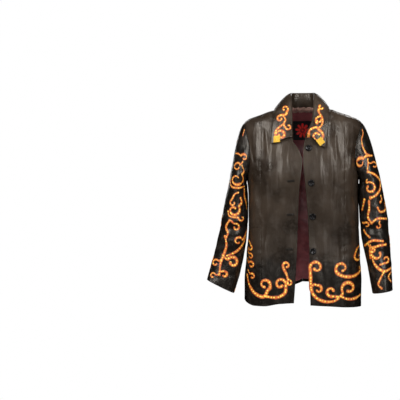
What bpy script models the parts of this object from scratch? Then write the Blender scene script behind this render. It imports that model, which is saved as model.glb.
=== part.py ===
"""Hip-length black leather jacket with a shirt collar, worn open on an unseen wearer.

The jacket hangs as a hollow shell. The body is a stack of rounded rings from the hem to the
neck, cut along the seams of a real pattern: centre and side panels with a seam at the waist.
A two-piece sleeve is lofted out of each armhole, and a one-piece collar rises from the
neckline, rolls over and lies on the chest.

Metres, +Z up. The front faces -Y and the wearer's left side is at +X. The origin is in the
middle of the neck, level with the top of the shoulder seams.
"""

import bmesh
import bpy
import numpy as np
from mathutils import Vector
from mathutils.bvhtree import BVHTree

# Cloth and seams
WALL = 0.0020
LINING_WALL = 0.0008
SEAM_GAP = 0.0003
NECK_SEAM_GAP = 0.0004
HALF_GAP = SEAM_GAP / 2

# Body rings, from the hem up to the neck
BODY_CENTRE_Y = 0.005
SQUARENESS = 0.030
BODY_RINGS = (
    # height, half width, front depth, back depth
    (-0.720, 0.213, 0.121, 0.116),
    (-0.620, 0.212, 0.119, 0.113),
    (-0.520, 0.203, 0.113, 0.103),
    (-0.425, 0.195, 0.109, 0.094),
    (-0.330, 0.196, 0.113, 0.100),
    (-0.280, 0.199, 0.116, 0.105),
    (-0.240, 0.204, 0.117, 0.108),
    (-0.170, 0.211, 0.112, 0.108),
    (-0.100, 0.215, 0.098, 0.101),
    (-0.060, 0.216, 0.087, 0.092),
    (-0.042, 0.214, 0.081, 0.086),
    (-0.030, 0.200, 0.076, 0.081),
    (-0.015, 0.163, 0.068, 0.073),
    (0.000, 0.121, 0.060, 0.065),
    (0.007, 0.097, 0.056, 0.060),
    (0.014, 0.072, 0.052, 0.055),
    (0.030, 0.060, 0.048, 0.051),
)

# Seams of the body
NECK_POINT_HEIGHT = 0.014
BACK_NECK_HEIGHT = 0.009
SHOULDER_POINT_HEIGHT = -0.042
UNDERARM_HEIGHT = -0.240
WAIST_HEIGHT = -0.425
PRINCESS_X = 0.150
ARMHOLE_FRONT_TURN = 31.0
ARMHOLE_BACK_TURN = 30.0
ARMHOLE_DROOP = 0.18

# Hem height around the body: the back is lifted at its middle
HEM = (
    # degrees from the centre front (wearer's left is positive), height
    (-180, -0.633),
    (-168, -0.655),
    (-160, -0.680),
    (-145, -0.693),
    (-120, -0.699),
    (-90, -0.690),
    (-68, -0.700),
    (-52, -0.708),
    (-38, -0.708),
    (-20, -0.698),
    (-5, -0.694),
    (5, -0.701),
    (25, -0.706),
    (45, -0.710),
    (90, -0.712),
    (118, -0.715),
    (132, -0.709),
    (142, -0.686),
    (152, -0.650),
    (165, -0.635),
    (180, -0.633),
)

# Front edges, by side of the wearer
RIGHT_FRONT_EDGE = (
    # height, x
    (-0.720, -0.033),
    (-0.600, -0.025),
    (-0.500, -0.020),
    (-0.400, -0.017),
    (-0.290, -0.012),
    (-0.184, -0.002),
    (-0.150, -0.012),
    (-0.116, -0.034),
)
LEFT_FRONT_EDGE = (
    # height, x
    (-0.720, 0.028),
    (-0.600, 0.025),
    (-0.500, 0.023),
    (-0.400, 0.019),
    (-0.290, 0.011),
    (-0.184, 0.002),
    (-0.150, 0.002),
    (-0.104, 0.008),
)

# Soft folds of the body, as low ridges that run down the cloth
FOLDS = (
    # face (1 front, -1 back), x top, x foot, height top, height foot, half width, rise
    (1, -0.112, -0.120, -0.110, -0.470, 0.020, 0.0045),
    (1, -0.066, -0.072, -0.160, -0.560, 0.022, 0.0040),
    (1, -0.178, -0.176, -0.070, -0.460, 0.016, 0.0030),
    (1, 0.106, 0.112, -0.075, -0.500, 0.020, 0.0050),
    (1, 0.052, 0.060, -0.170, -0.430, 0.026, 0.0045),
    (1, 0.162, 0.176, -0.080, -0.430, 0.016, 0.0030),
    (1, 0.090, 0.098, -0.430, -0.730, 0.034, -0.0040),
    (1, -0.100, -0.104, -0.430, -0.730, 0.034, -0.0040),
    (-1, -0.110, -0.120, -0.120, -0.640, 0.026, 0.0050),
    (-1, 0.104, 0.118, -0.120, -0.640, 0.026, 0.0050),
    (-1, -0.048, -0.060, -0.240, -0.620, 0.022, -0.0040),
    (-1, 0.046, 0.066, -0.240, -0.620, 0.022, -0.0040),
)

# Sleeves, as rings down the arm below the underarm; x is measured outwards from the middle
RIGHT_SLEEVE = (
    # x, y, height, half width, half depth, slope in degrees
    (0.2375, 0.003, -0.262, 0.0325, 0.066, 8),
    (0.2450, -0.001, -0.345, 0.0415, 0.060, 10),
    (0.2530, -0.008, -0.425, 0.0475, 0.053, 12),
    (0.2660, -0.018, -0.510, 0.0525, 0.044, 14),
    (0.2840, -0.032, -0.590, 0.0555, 0.035, 18),
    (0.2990, -0.042, -0.641, 0.0555, 0.030, 26),
)
LEFT_SLEEVE = (
    # x, y, height, half width, half depth, slope in degrees
    (0.2450, 0.003, -0.262, 0.0390, 0.066, 5),
    (0.2560, -0.002, -0.345, 0.0445, 0.061, 7),
    (0.2640, -0.010, -0.425, 0.0465, 0.057, 6),
    (0.2710, -0.020, -0.510, 0.0450, 0.053, 6),
    (0.2800, -0.034, -0.590, 0.0410, 0.050, 8),
    (0.2870, -0.044, -0.656, 0.0365, 0.049, 10),
)
SLEEVE_START = 0.45
SLEEVE_ARRIVAL = 0.55
SLEEVE_FRONT_SEAM = 135.0
SLEEVE_BACK_SEAM = -112.5
SLEEVE_FOLDS = (
    # degrees round the arm, height, half turn, half length, rise
    (60, -0.395, 75, 0.020, 0.0030),
    (85, -0.430, 60, 0.013, -0.0040),
    (70, -0.470, 70, 0.018, 0.0025),
    (-80, -0.420, 60, 0.022, -0.0030),
)

# Collar stations from the centre back to a front end, mirrored apart from the two ends
COLLAR_WALL = 0.0024
COLLAR_BACK = (
    # share of the neckline from the centre back, fold (x, y, z), outer edge (x, y, z)
    (0.00, (0.000, 0.050, 0.066), (0.000, 0.0765, 0.022)),
    (0.14, (0.023, 0.047, 0.066), (0.038, 0.0745, 0.021)),
    (0.28, (0.037, 0.036, 0.065), (0.075, 0.0590, 0.019)),
)
COLLAR_RIGHT_FRONT = (
    # share, fold (x, y, z), outer edge (x, height) on the front panel
    (0.43, (-0.044, 0.012, 0.061), (-0.098, 0.0060)),
    (0.51, (-0.043, -0.008, 0.056), (-0.101, 0.0020)),
    (0.58, (-0.042, -0.022, 0.045), (-0.103, -0.015)),
    (0.72, (-0.040, -0.054, 0.010), (-0.107, -0.055)),
    (0.86, (-0.038, -0.082, -0.046), (-0.111, -0.094)),
    (1.00, (-0.036, -0.101, -0.104), (-0.114, -0.125)),
)
COLLAR_LEFT_FRONT = (
    # share, fold (x, y, z), outer edge (x, height) on the front panel
    (0.43, (0.044, 0.012, 0.061), (0.092, 0.0075)),
    (0.51, (0.043, -0.008, 0.056), (0.094, 0.0040)),
    (0.58, (0.042, -0.022, 0.045), (0.095, -0.012)),
    (0.72, (0.040, -0.054, 0.010), (0.091, -0.055)),
    (0.86, (0.034, -0.083, -0.040), (0.086, -0.101)),
    (1.00, (0.012, -0.103, -0.092), (0.079, -0.143)),
)
COLLAR_LIFT = 0.0045
COLLAR_ROLL = 0.013
COLLAR_BULGE = 0.009

# Buttons on the wearer's left front and bound holes on the right one, as (x, height). The
# hole of the top button is behind the collar and isn't cut.
BUTTONS = ((0.0210, -0.140), (0.0300, -0.265), (0.0355, -0.385), (0.0365, -0.509))
HOLES = ((-0.0420, -0.258), (-0.0435, -0.378), (-0.0470, -0.502))
BUTTON_SIDES = 20
BUTTON_FOOT = 0.0105
BUTTON_PROFILE = (
    # radius, height above the underside, from the middle of the top down the rim
    (0.0000, 0.0026),
    (0.0070, 0.0026),
    (0.0085, 0.0036),
    (0.0112, 0.0034),
    (0.0120, 0.0018),
    (0.0105, 0.0004),
    (0.0070, 0.0000),
    (0.0000, 0.0000),
)
HOLE_LENGTH = 0.026
HOLE_HEIGHT = 0.0080
HOLE_THICKNESS = 0.0010
HOLE_GAP = 0.0004

# Square metal corners on the collar, the patch at the neck and the lining
STUD_SIDE = 0.022
STUD_THICKNESS = 0.0012
STUD_EDGE = 0.0030
LABEL_HALF_WIDTH = 0.036
LABEL_TOP = -0.030
LABEL_FOOT = -0.100
LABEL_GAP = 0.0005
FACING_COLUMNS = 4

# Mesh fineness, in cells
LOWER_ROWS = 6
UPPER_ROWS = 12
NECK_CELLS = 7
FRONT_COLUMNS = 8
SHOULDER_COLUMNS = 3
SIDE_COLUMNS = 5
ARMHOLE_CELLS = 8
CAP_ROWS = 6
ARM_ROWS = 9
STAND_ROWS = 3
FALL_ROWS = 7
ROW_GRADING = 1.2

LEATHER = ("leather", (0.022, 0.018, 0.016), 0.42, 0.0)
LINING = ("lining", (0.16, 0.020, 0.030), 0.35, 0.0)
HORN = ("button_horn", (0.018, 0.012, 0.010), 0.30, 0.0)
GOLD = ("gold", (0.90, 0.62, 0.12), 0.28, 1.0)
PATCH = ("patch", (0.020, 0.018, 0.020), 0.60, 0.0)


def clear_scene():
    for thing in list(bpy.data.objects):
        bpy.data.objects.remove(thing)


def material(name, colour, roughness, metallic):
    """A plain finish, shared by every piece that names it."""
    made = bpy.data.materials.get(name) or bpy.data.materials.new(name)
    made.use_nodes = True
    shader = made.node_tree.nodes["Principled BSDF"]
    shader.inputs["Base Color"].default_value = (*colour, 1.0)
    shader.inputs["Roughness"].default_value = roughness
    shader.inputs["Metallic"].default_value = metallic
    return made


# Small mathematics


def smooth_curve(rows):
    """A curve through rows of (place, value, ...) that doesn't overshoot between them."""
    table = np.array(rows, float)
    place, values = table[:, 0], table[:, 1:]
    slopes = np.diff(values, axis=0) / np.diff(place)[:, None]
    tangents = np.zeros_like(values)
    tangents[0], tangents[-1] = slopes[0], slopes[-1]
    before, after = slopes[:-1], slopes[1:]
    agree = before * after > 0
    total = np.where(agree, before + after, 1.0)
    tangents[1:-1] = np.where(agree, 2 * before * after / total, 0.0)

    def at(where):
        where = np.clip(np.asarray(where, float), place[0], place[-1])
        i = np.clip(np.searchsorted(place, where) - 1, 0, len(place) - 2)
        step = (place[i + 1] - place[i])[..., None]
        t = (where - place[i])[..., None] / step
        low, high = values[i], values[i + 1]
        bend_low, bend_high = tangents[i] * step, tangents[i + 1] * step
        return (
            low * (1 + 2 * t) * (1 - t) ** 2
            + bend_low * t * (1 - t) ** 2
            + high * t * t * (3 - 2 * t)
            - bend_high * t * t * (1 - t)
        )

    return at


def resample(points, count, shares=None):
    """The polyline again with count cells, evenly spaced unless shares says where."""
    points = np.asarray(points, float)
    steps = np.linalg.norm(np.diff(points, axis=0), axis=1)
    along = np.concatenate([[0.0], np.cumsum(steps)])
    wanted = np.linspace(0, 1, count + 1) if shares is None else np.asarray(shares)
    return np.stack(
        [np.interp(wanted * along[-1], along, points[:, k]) for k in range(points.shape[1])],
        axis=1,
    )


def bilinear(grid, row, column):
    """Values of a grid between its rows and columns."""
    r = np.clip(np.floor(row).astype(int), 0, grid.shape[0] - 2)
    c = np.clip(np.floor(column).astype(int), 0, grid.shape[1] - 2)
    u, v = (row - r)[..., None], (column - c)[..., None]
    low = grid[r, c] * (1 - v) + grid[r, c + 1] * v
    high = grid[r + 1, c] * (1 - v) + grid[r + 1, c + 1] * v
    return low * (1 - u) + high * u


def unit(vectors):
    return vectors / np.linalg.norm(vectors, axis=-1, keepdims=True)


def smoothstep(t):
    t = np.clip(t, 0, 1)
    return t * t * (3 - 2 * t)


# The body as a surface of turn and height

body_sizes = smooth_curve(BODY_RINGS)
hem_curve = smooth_curve(HEM)
right_edge = smooth_curve(RIGHT_FRONT_EDGE)
left_edge = smooth_curve(LEFT_FRONT_EDGE)


def across(turn):
    return (np.sin(turn) + SQUARENESS * np.sin(3 * turn)) / (1 - SQUARENESS)


def along_body(turn):
    return (np.cos(turn) - SQUARENESS * np.cos(3 * turn)) / (1 - SQUARENESS)


def ring(turn, height):
    """A point of the body without folds; turn is 0 at the centre front and positive to +X."""
    turn, height = np.broadcast_arrays(np.asarray(turn, float), np.asarray(height, float))
    half_width, front, back = np.moveaxis(body_sizes(height), -1, 0)
    forward = along_body(turn)
    depth = np.where(forward > 0, front, back)
    return np.stack(
        [half_width * across(turn), BODY_CENTRE_Y - depth * forward, height], axis=-1
    )


def body_normal(turn, height):
    small_turn, small_height = 0.002, 0.0005
    around = ring(turn + small_turn, height) - ring(turn - small_turn, height)
    up = ring(turn, height + small_height) - ring(turn, height - small_height)
    return unit(np.cross(around, up))


def fold_rise(points, forward):
    """How far the folds lift the cloth, at points of the unfolded body."""
    rise = np.zeros(points.shape[:-1])
    for face, x_top, x_foot, top, foot, half_width, height in FOLDS:
        down = (top - points[..., 2]) / (top - foot)
        middle = x_top + (x_foot - x_top) * np.clip(down, 0, 1)
        shape = np.exp(-(((points[..., 0] - middle) / half_width) ** 2))
        fade = smoothstep(down / 0.3) * smoothstep((1 - down) / 0.3)
        if foot < -0.700:
            fade = smoothstep(down / 0.5)
        rise += height * shape * fade * smoothstep(3 * face * forward)
    return rise


def body(turn, height, lift=0.0):
    """A point of the folded body; lift is 0 on the outer face and positive outside it."""
    plain = ring(turn, height)
    rise = fold_rise(plain, along_body(np.asarray(turn, float))) + lift
    return plain + body_normal(turn, height) * np.asarray(rise)[..., None]


QUARTER = np.linspace(0, np.pi / 2, 65)
LEVELS = 1 - (1 - np.linspace(0, 1, 121)) ** 2
ACROSS_QUARTER = across(QUARTER)


def turn_of_x(x, height):
    """The turn, from the centre front, at which the front has this x."""
    half_width = body_sizes(height)[..., 0]
    share = np.clip(np.abs(x) / half_width, 0, 1)
    return np.sign(x) * np.interp(share, ACROSS_QUARTER, QUARTER)


class Quarter:
    """A quarter of the body laid flat as (distance across, height).

    Distance is measured from the centre line, round the ring if by_length and else along x.
    side is 1 for the wearer's left. Turns given to lay_flat are those of the left side.
    """

    def __init__(self, side, back, by_length):
        self.side, self.back, self.by_length = side, back, by_length

    def lengths(self, height):
        turns = np.pi - QUARTER if self.back else QUARTER
        points = ring(turns, np.asarray(height, float)[..., None])
        steps = np.linalg.norm(np.diff(points, axis=-2), axis=-1)
        return np.concatenate([np.zeros((len(steps), 1)), np.cumsum(steps, axis=-1)], axis=-1)

    def lay_flat(self, turn, height):
        turn = np.asarray(turn, float)
        height = np.broadcast_to(np.asarray(height, float), turn.shape)
        from_line = np.pi - turn if self.back else turn
        if self.by_length:
            rows = zip(from_line, self.lengths(height))
            distance = np.array([np.interp(t, QUARTER, row) for t, row in rows])
        else:
            distance = body_sizes(height)[..., 0] * across(from_line)
        return np.stack([distance, height], axis=-1)

    def place(self, flat):
        """Signed turns and heights of flat points, clear of the side and shoulder seams."""
        distance, height = flat[..., 0], flat[..., 1]
        if self.by_length:
            rows = zip(distance.ravel(), self.lengths(height.ravel()))
            from_line = np.array([np.interp(d, row, QUARTER) for d, row in rows])
            from_line = from_line.reshape(distance.shape)
        else:
            from_line = turn_of_x(distance, height)
        depth = body_sizes(height)[..., 2 if self.back else 1]
        clear = HALF_GAP * (1 - SQUARENESS) / (depth * (1 + 3 * SQUARENESS))
        from_line = np.minimum(from_line, np.pi / 2 - clear)
        return self.side * (np.pi - from_line if self.back else from_line), height


# Outlines of the pattern pieces, as polylines of (distance across, height)


def height_on_shoulder(x):
    heights = np.linspace(SHOULDER_POINT_HEIGHT, NECK_POINT_HEIGHT, 200)
    return float(np.interp(-x, -body_sizes(heights)[:, 0], heights))


def princess_seam(quarter, low, high, gap):
    """The seam that keeps its x, moved sideways by gap."""
    heights = low + (high - low) * LEVELS
    turn = turn_of_x(PRINCESS_X + gap, heights)
    return quarter.lay_flat(np.pi - turn if quarter.back else turn, heights)


def side_seam(quarter, low, high):
    heights = low + (high - low) * LEVELS
    return quarter.lay_flat(np.full(len(LEVELS), np.pi / 2), heights)


def inner_edge(side, back, low, high):
    """The front edge, or the centre-back seam."""
    heights = low + (high - low) * LEVELS
    if back:
        return np.stack([np.full(len(LEVELS), HALF_GAP), heights], axis=1)
    edge = left_edge if side > 0 else right_edge
    return np.stack([np.abs(edge(heights)[:, 0]), heights], axis=1)


def shoulder_seam(quarter, x_in, x_out, count=40):
    heights = np.linspace(height_on_shoulder(x_in), height_on_shoulder(x_out), count)
    return quarter.lay_flat(np.full(count, np.pi / 2), heights)


def armhole(degrees):
    """(turn, height) round the left armhole, 0 at the shoulder and 90 in front."""
    t = np.radians(np.asarray(degrees, float))
    middle = (SHOULDER_POINT_HEIGHT + UNDERARM_HEIGHT) / 2
    half = (SHOULDER_POINT_HEIGHT - UNDERARM_HEIGHT) / 2
    reach = np.where(np.sin(t) > 0, ARMHOLE_FRONT_TURN, ARMHOLE_BACK_TURN)
    turn = np.pi / 2 - np.radians(reach) * np.sin(t) * (1 - ARMHOLE_DROOP * np.cos(t))
    return turn, middle + half * np.cos(t)


def front_neckline(side, count=60):
    """(turn, height) from the front edge's top up to the neck point."""
    table = LEFT_FRONT_EDGE if side > 0 else RIGHT_FRONT_EDGE
    end_height, end_x = table[-1][0], abs(table[-1][1])
    neck_x = body_sizes(NECK_POINT_HEIGHT)[0]
    t = np.linspace(0, np.pi / 2, count)
    x = end_x + (neck_x - end_x) * np.sin(t) ** 0.75
    height = NECK_POINT_HEIGHT + (end_height - NECK_POINT_HEIGHT) * np.cos(t)
    return turn_of_x(x, height), height


def back_neckline(count=40):
    """(turn, height) from the centre back to the neck point."""
    turn = np.linspace(np.pi, np.pi / 2, count)
    rise = ((np.pi - turn) / (np.pi / 2)) ** 2
    return turn, BACK_NECK_HEIGHT + (NECK_POINT_HEIGHT - BACK_NECK_HEIGHT) * rise


def inset(line, outside):
    """Moves a flat outline HALF_GAP away from a point outside the piece."""
    step = np.gradient(line, axis=0)
    normal = unit(np.stack([-step[:, 1], step[:, 0]], axis=1))
    away = ((line - outside) * normal).sum(axis=1)
    return line + normal * HALF_GAP * np.where(away < 0, -1, 1)[:, None]


def hem_line(quarter, turn_in, turn_out, count=50):
    turn = np.linspace(turn_in, turn_out, count)
    height = hem_curve(np.degrees(quarter.side * turn))[..., 0]
    return quarter.lay_flat(turn, height)


def spaced(quarter, line, rows, grading=1.0):
    """Points on a flat outline, evenly spaced along the cloth or closer at its top."""
    steps = np.linalg.norm(np.diff(ring(*quarter.place(line)), axis=0), axis=-1)
    length = np.concatenate([[0.0], np.cumsum(steps)])
    shares = 1 - (1 - np.linspace(0, 1, rows + 1)) ** grading
    return np.stack([np.interp(shares * length[-1], length, line[:, k]) for k in (0, 1)], axis=1)


def patch(left, right, foot, top):
    """Fills four flat outlines with a grid; left and right run from foot to top."""
    left[0], left[-1], right[0], right[-1] = foot[0], top[0], foot[-1], top[-1]
    u = np.linspace(0, 1, len(foot))[None, :, None]
    rise = [(line[:, 1] - line[0, 1]) / (line[-1, 1] - line[0, 1]) for line in (left, right)]
    v = (1 - u) * rise[0][:, None, None] + u * rise[1][:, None, None]
    grid = (1 - v) * foot + v * top + (1 - u) * left[:, None] + u * right[:, None]
    grid -= (1 - v) * ((1 - u) * foot[0] + u * foot[-1])
    grid -= v * ((1 - u) * top[0] + u * top[-1])
    return grid


def centre_foot(quarter, cells):
    """The hem of a centre panel and the ends of its two lengthwise outlines."""
    side, back = quarter.side, quarter.back
    turn_out = float(turn_of_x(PRINCESS_X, -0.705))
    turn_in = float(turn_of_x(inner_edge(side, back, -0.74, -0.70)[-1, 0], -0.70))
    if back:
        turn_in, turn_out = np.pi, np.pi - turn_out
    foot = resample(hem_line(quarter, turn_in, turn_out), cells)
    left = inner_edge(side, back, foot[0, 1], WAIST_HEIGHT)
    right = princess_seam(quarter, foot[-1, 1], WAIST_HEIGHT, -HALF_GAP)
    foot[0], foot[-1] = left[0], right[0]
    waist = np.linspace(left[-1], right[-1], cells + 1)
    left, right = (spaced(quarter, line, LOWER_ROWS) for line in (left, right))
    return waist, patch(left, right, foot, waist)


def centre_grid(side, back):
    """From the front edge or centre back to the princess seam, hem to neck and shoulder.

    A back's top row runs along the neck and the shoulder. A front's neck is part of its
    front edge, in the last NECK_CELLS rows.
    """
    quarter = Quarter(side, back, by_length=False)
    neck_x = float(body_sizes(NECK_POINT_HEIGHT)[0])
    shoulder = shoulder_seam(quarter, neck_x, PRINCESS_X - HALF_GAP)
    if back:
        neck = inset(quarter.lay_flat(*back_neckline()), np.array([0.0, 0.1]))
        neck[0, 0], neck[-1] = HALF_GAP, shoulder[0]
        neck, shoulder = resample(neck, NECK_CELLS), resample(shoulder, SHOULDER_COLUMNS)
        top = np.concatenate([neck[:-1], shoulder])
        left = inner_edge(side, back, WAIST_HEIGHT, top[0, 1])
        left = spaced(quarter, left, UPPER_ROWS, ROW_GRADING)
    else:
        neck = inset(quarter.lay_flat(*front_neckline(side)), np.array([0.0, 0.014]))
        top = resample(shoulder, FRONT_COLUMNS)
        neck[-1] = top[0]
        left = inner_edge(side, back, WAIST_HEIGHT, neck[0, 1])
        neck[0] = left[-1]
        left = spaced(quarter, left, UPPER_ROWS - NECK_CELLS)
        left = np.concatenate([left[:-1], resample(neck, NECK_CELLS)])
    waist, lower = centre_foot(quarter, len(top) - 1)
    right = princess_seam(quarter, WAIST_HEIGHT, top[-1, 1], -HALF_GAP)
    right = spaced(quarter, right, UPPER_ROWS, ROW_GRADING)
    return quarter, np.concatenate([lower[:-1], patch(left, right, waist, top)])


def neck_cells(side, back):
    """The neck edge of a centre panel, from the front end or centre back to the neck point."""
    quarter, grid = centre_grid(side, back)
    line = grid[-1, : NECK_CELLS + 1] if back else grid[-1 - NECK_CELLS :, 0]
    turn, height = quarter.place(line)
    return np.stack([body(turn, height), body_normal(turn, height)])


def side_lower_grid(side, back):
    """From the princess seam to the side seam, hem to waist."""
    quarter = Quarter(side, back, by_length=True)
    turn_in = float(turn_of_x(PRINCESS_X, -0.705))
    hem = hem_line(quarter, np.pi - turn_in if back else turn_in, np.pi / 2)
    high = WAIST_HEIGHT - HALF_GAP
    princess = princess_seam(quarter, hem[0, 1], high, HALF_GAP)
    seam = side_seam(quarter, hem[-1, 1], high)
    hem[0] = princess[0]
    foot = resample(hem, SIDE_COLUMNS)
    waist = np.linspace(princess[-1], seam[-1], len(foot))
    left, right = (spaced(quarter, line, LOWER_ROWS) for line in (princess, seam))
    return quarter, patch(left, right, foot, waist)


def side_upper_grid(side, back):
    """From the princess seam to the side seam and armhole, waist to shoulder."""
    quarter = Quarter(side, back, by_length=True)
    low = WAIST_HEIGHT + HALF_GAP
    shoulder_x = body_sizes(SHOULDER_POINT_HEIGHT)[0]
    top = resample(shoulder_seam(quarter, PRINCESS_X + HALF_GAP, shoulder_x), SIDE_COLUMNS)
    degrees = np.linspace(180, 0, ARMHOLE_CELLS + 1) * (-1 if back else 1)
    hole = inset(quarter.lay_flat(*armhole(degrees)), np.array([0.30, -0.141]))
    princess = princess_seam(quarter, low, top[0, 1], HALF_GAP)
    seam = side_seam(quarter, low, hole[0, 1])
    hole[0], hole[-1] = seam[-1], top[-1]
    left = spaced(quarter, princess, UPPER_ROWS, ROW_GRADING)
    right = spaced(quarter, seam, UPPER_ROWS - ARMHOLE_CELLS)
    waist = np.linspace(princess[0], seam[0], SIDE_COLUMNS + 1)
    return quarter, patch(left, np.concatenate([right[:-1], hole]), waist, top)


# Meshes


def collection(name):
    made = bpy.data.collections.new(name)
    bpy.context.scene.collection.children.link(made)
    return made


def mesh_object(name, points, faces, finish, group, smooth_angle=40.0):
    """A closed mesh from points and faces, with its faces turned outwards."""
    mesh = bpy.data.meshes.new(name)
    mesh.from_pydata([tuple(p) for p in points], [], faces)
    tidy = bmesh.new()
    tidy.from_mesh(mesh)
    bmesh.ops.recalc_face_normals(tidy, faces=tidy.faces)
    tidy.to_mesh(mesh)
    tidy.free()
    mesh.shade_smooth()
    mesh.set_sharp_from_angle(angle=np.radians(smooth_angle))
    mesh.materials.append(material(*finish))
    made = bpy.data.objects.new(name, mesh)
    group.objects.link(made)
    return made


def wall(name, outer, inner, finish, group, left_out=(), mirrored=0):
    """A sheet of cloth between two grids of points; left_out lists (row, column) cells.

    Both faces are cut along the same diagonals, so that sheets on one grid stay parallel.
    The first mirrored columns of cells are cut along the other ones.
    """
    rows, columns = outer.shape[0] - 1, outer.shape[1] - 1
    kept = {(r, c) for r in range(rows) for c in range(columns)} - set(left_out)

    def at(row, column, layer):
        return (layer * (rows + 1) + row) * (columns + 1) + column

    faces = []
    for row, column in sorted(kept):
        corners = ((row, column), (row, column + 1), (row + 1, column + 1), (row + 1, column))
        beside = ((row - 1, column), (row, column + 1), (row + 1, column), (row, column - 1))
        halves = ((1, 2, 3), (1, 3, 0)) if column < mirrored else ((0, 1, 2), (0, 2, 3))
        for i, j, k in halves:
            faces.append([at(*corners[i], 0), at(*corners[j], 0), at(*corners[k], 0)])
            faces.append([at(*corners[i], 1), at(*corners[k], 1), at(*corners[j], 1)])
        for here, following, cell in zip(corners, corners[1:] + corners[:1], beside):
            if cell not in kept:
                edge = (at(*here, 0), at(*here, 1), at(*following, 1), at(*following, 0))
                faces.append(list(edge))
    points = np.concatenate([outer.reshape(-1, 3), inner.reshape(-1, 3)])
    used = sorted({index for face in faces for index in face})
    place = {index: i for i, index in enumerate(used)}
    faces = [[place[index] for index in face] for face in faces]
    return mesh_object(name, points[used], faces, finish, group)


def body_wall(name, quarter, grid, finish, group, lift=0.0, thickness=WALL):
    """A panel on the body, lift outside its outer face."""
    turn, height = quarter.place(grid)
    wall(name, body(turn, height, lift), body(turn, height, lift - thickness), finish, group)


def met_from(name, start_y, x, height):
    """Points at (x, height) where rays from start_y along +Y first meet the named piece."""
    mesh = bpy.data.objects[name].data
    tree = BVHTree.FromPolygons([v.co for v in mesh.vertices], [p.vertices for p in mesh.polygons])
    points = np.zeros(np.shape(x) + (3,))
    for place in np.ndindex(np.shape(x)):
        start = Vector((x[place], start_y, height[place]))
        points[place] = tree.ray_cast(start, Vector((0, 1, 0)))[0]
    return points


# Body and lining


def build_body(group):
    for side, word in ((1, "left"), (-1, "right")):
        for back, face in ((False, "front"), (True, "back")):
            body_wall(f"{face}_{word}", *centre_grid(side, back), LEATHER, group)
            stem = f"side_{face}_{word}"
            body_wall(stem + "_lower", *side_lower_grid(side, back), LEATHER, group)
            body_wall(stem + "_upper", *side_upper_grid(side, back), LEATHER, group)


def build_lining(group):
    """One lining for the back and one behind each front facing, one row above the hem."""
    lift = -(WALL + SEAM_GAP)
    halves = []
    for side, word in ((1, "left"), (-1, "right")):
        quarter, grid = centre_grid(side, False)
        grid = grid[1:, FACING_COLUMNS:]
        body_wall(f"front_lining_{word}", quarter, grid, LINING, group, lift, LINING_WALL)
        quarter, grid = centre_grid(side, True)
        turn, height = quarter.place(grid[1:])
        halves.append([body(turn, height, lift), body(turn, height, lift - LINING_WALL)])
    left, right = np.array(halves)
    middle = (left[:, :, :1] + right[:, :, :1]) / 2
    outer, inner = np.concatenate([right[:, :, :0:-1], middle, left[:, :, 1:]], axis=2)
    columns = left.shape[2] - 1
    wall("back_lining", outer, inner, LINING, group, mirrored=columns)
    columns = np.linspace(-LABEL_HALF_WIDTH, LABEL_HALF_WIDTH, 13)
    x, height = np.meshgrid(columns, np.linspace(LABEL_FOOT, LABEL_TOP, 11))
    outer = met_from("back_lining", 0.0, x, height)
    normal = body_normal(np.pi - turn_of_x(x, height), height)
    outer -= LABEL_GAP * normal
    wall("neck_patch", outer, outer - LINING_WALL * normal, PATCH, group)


# Sleeves


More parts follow.
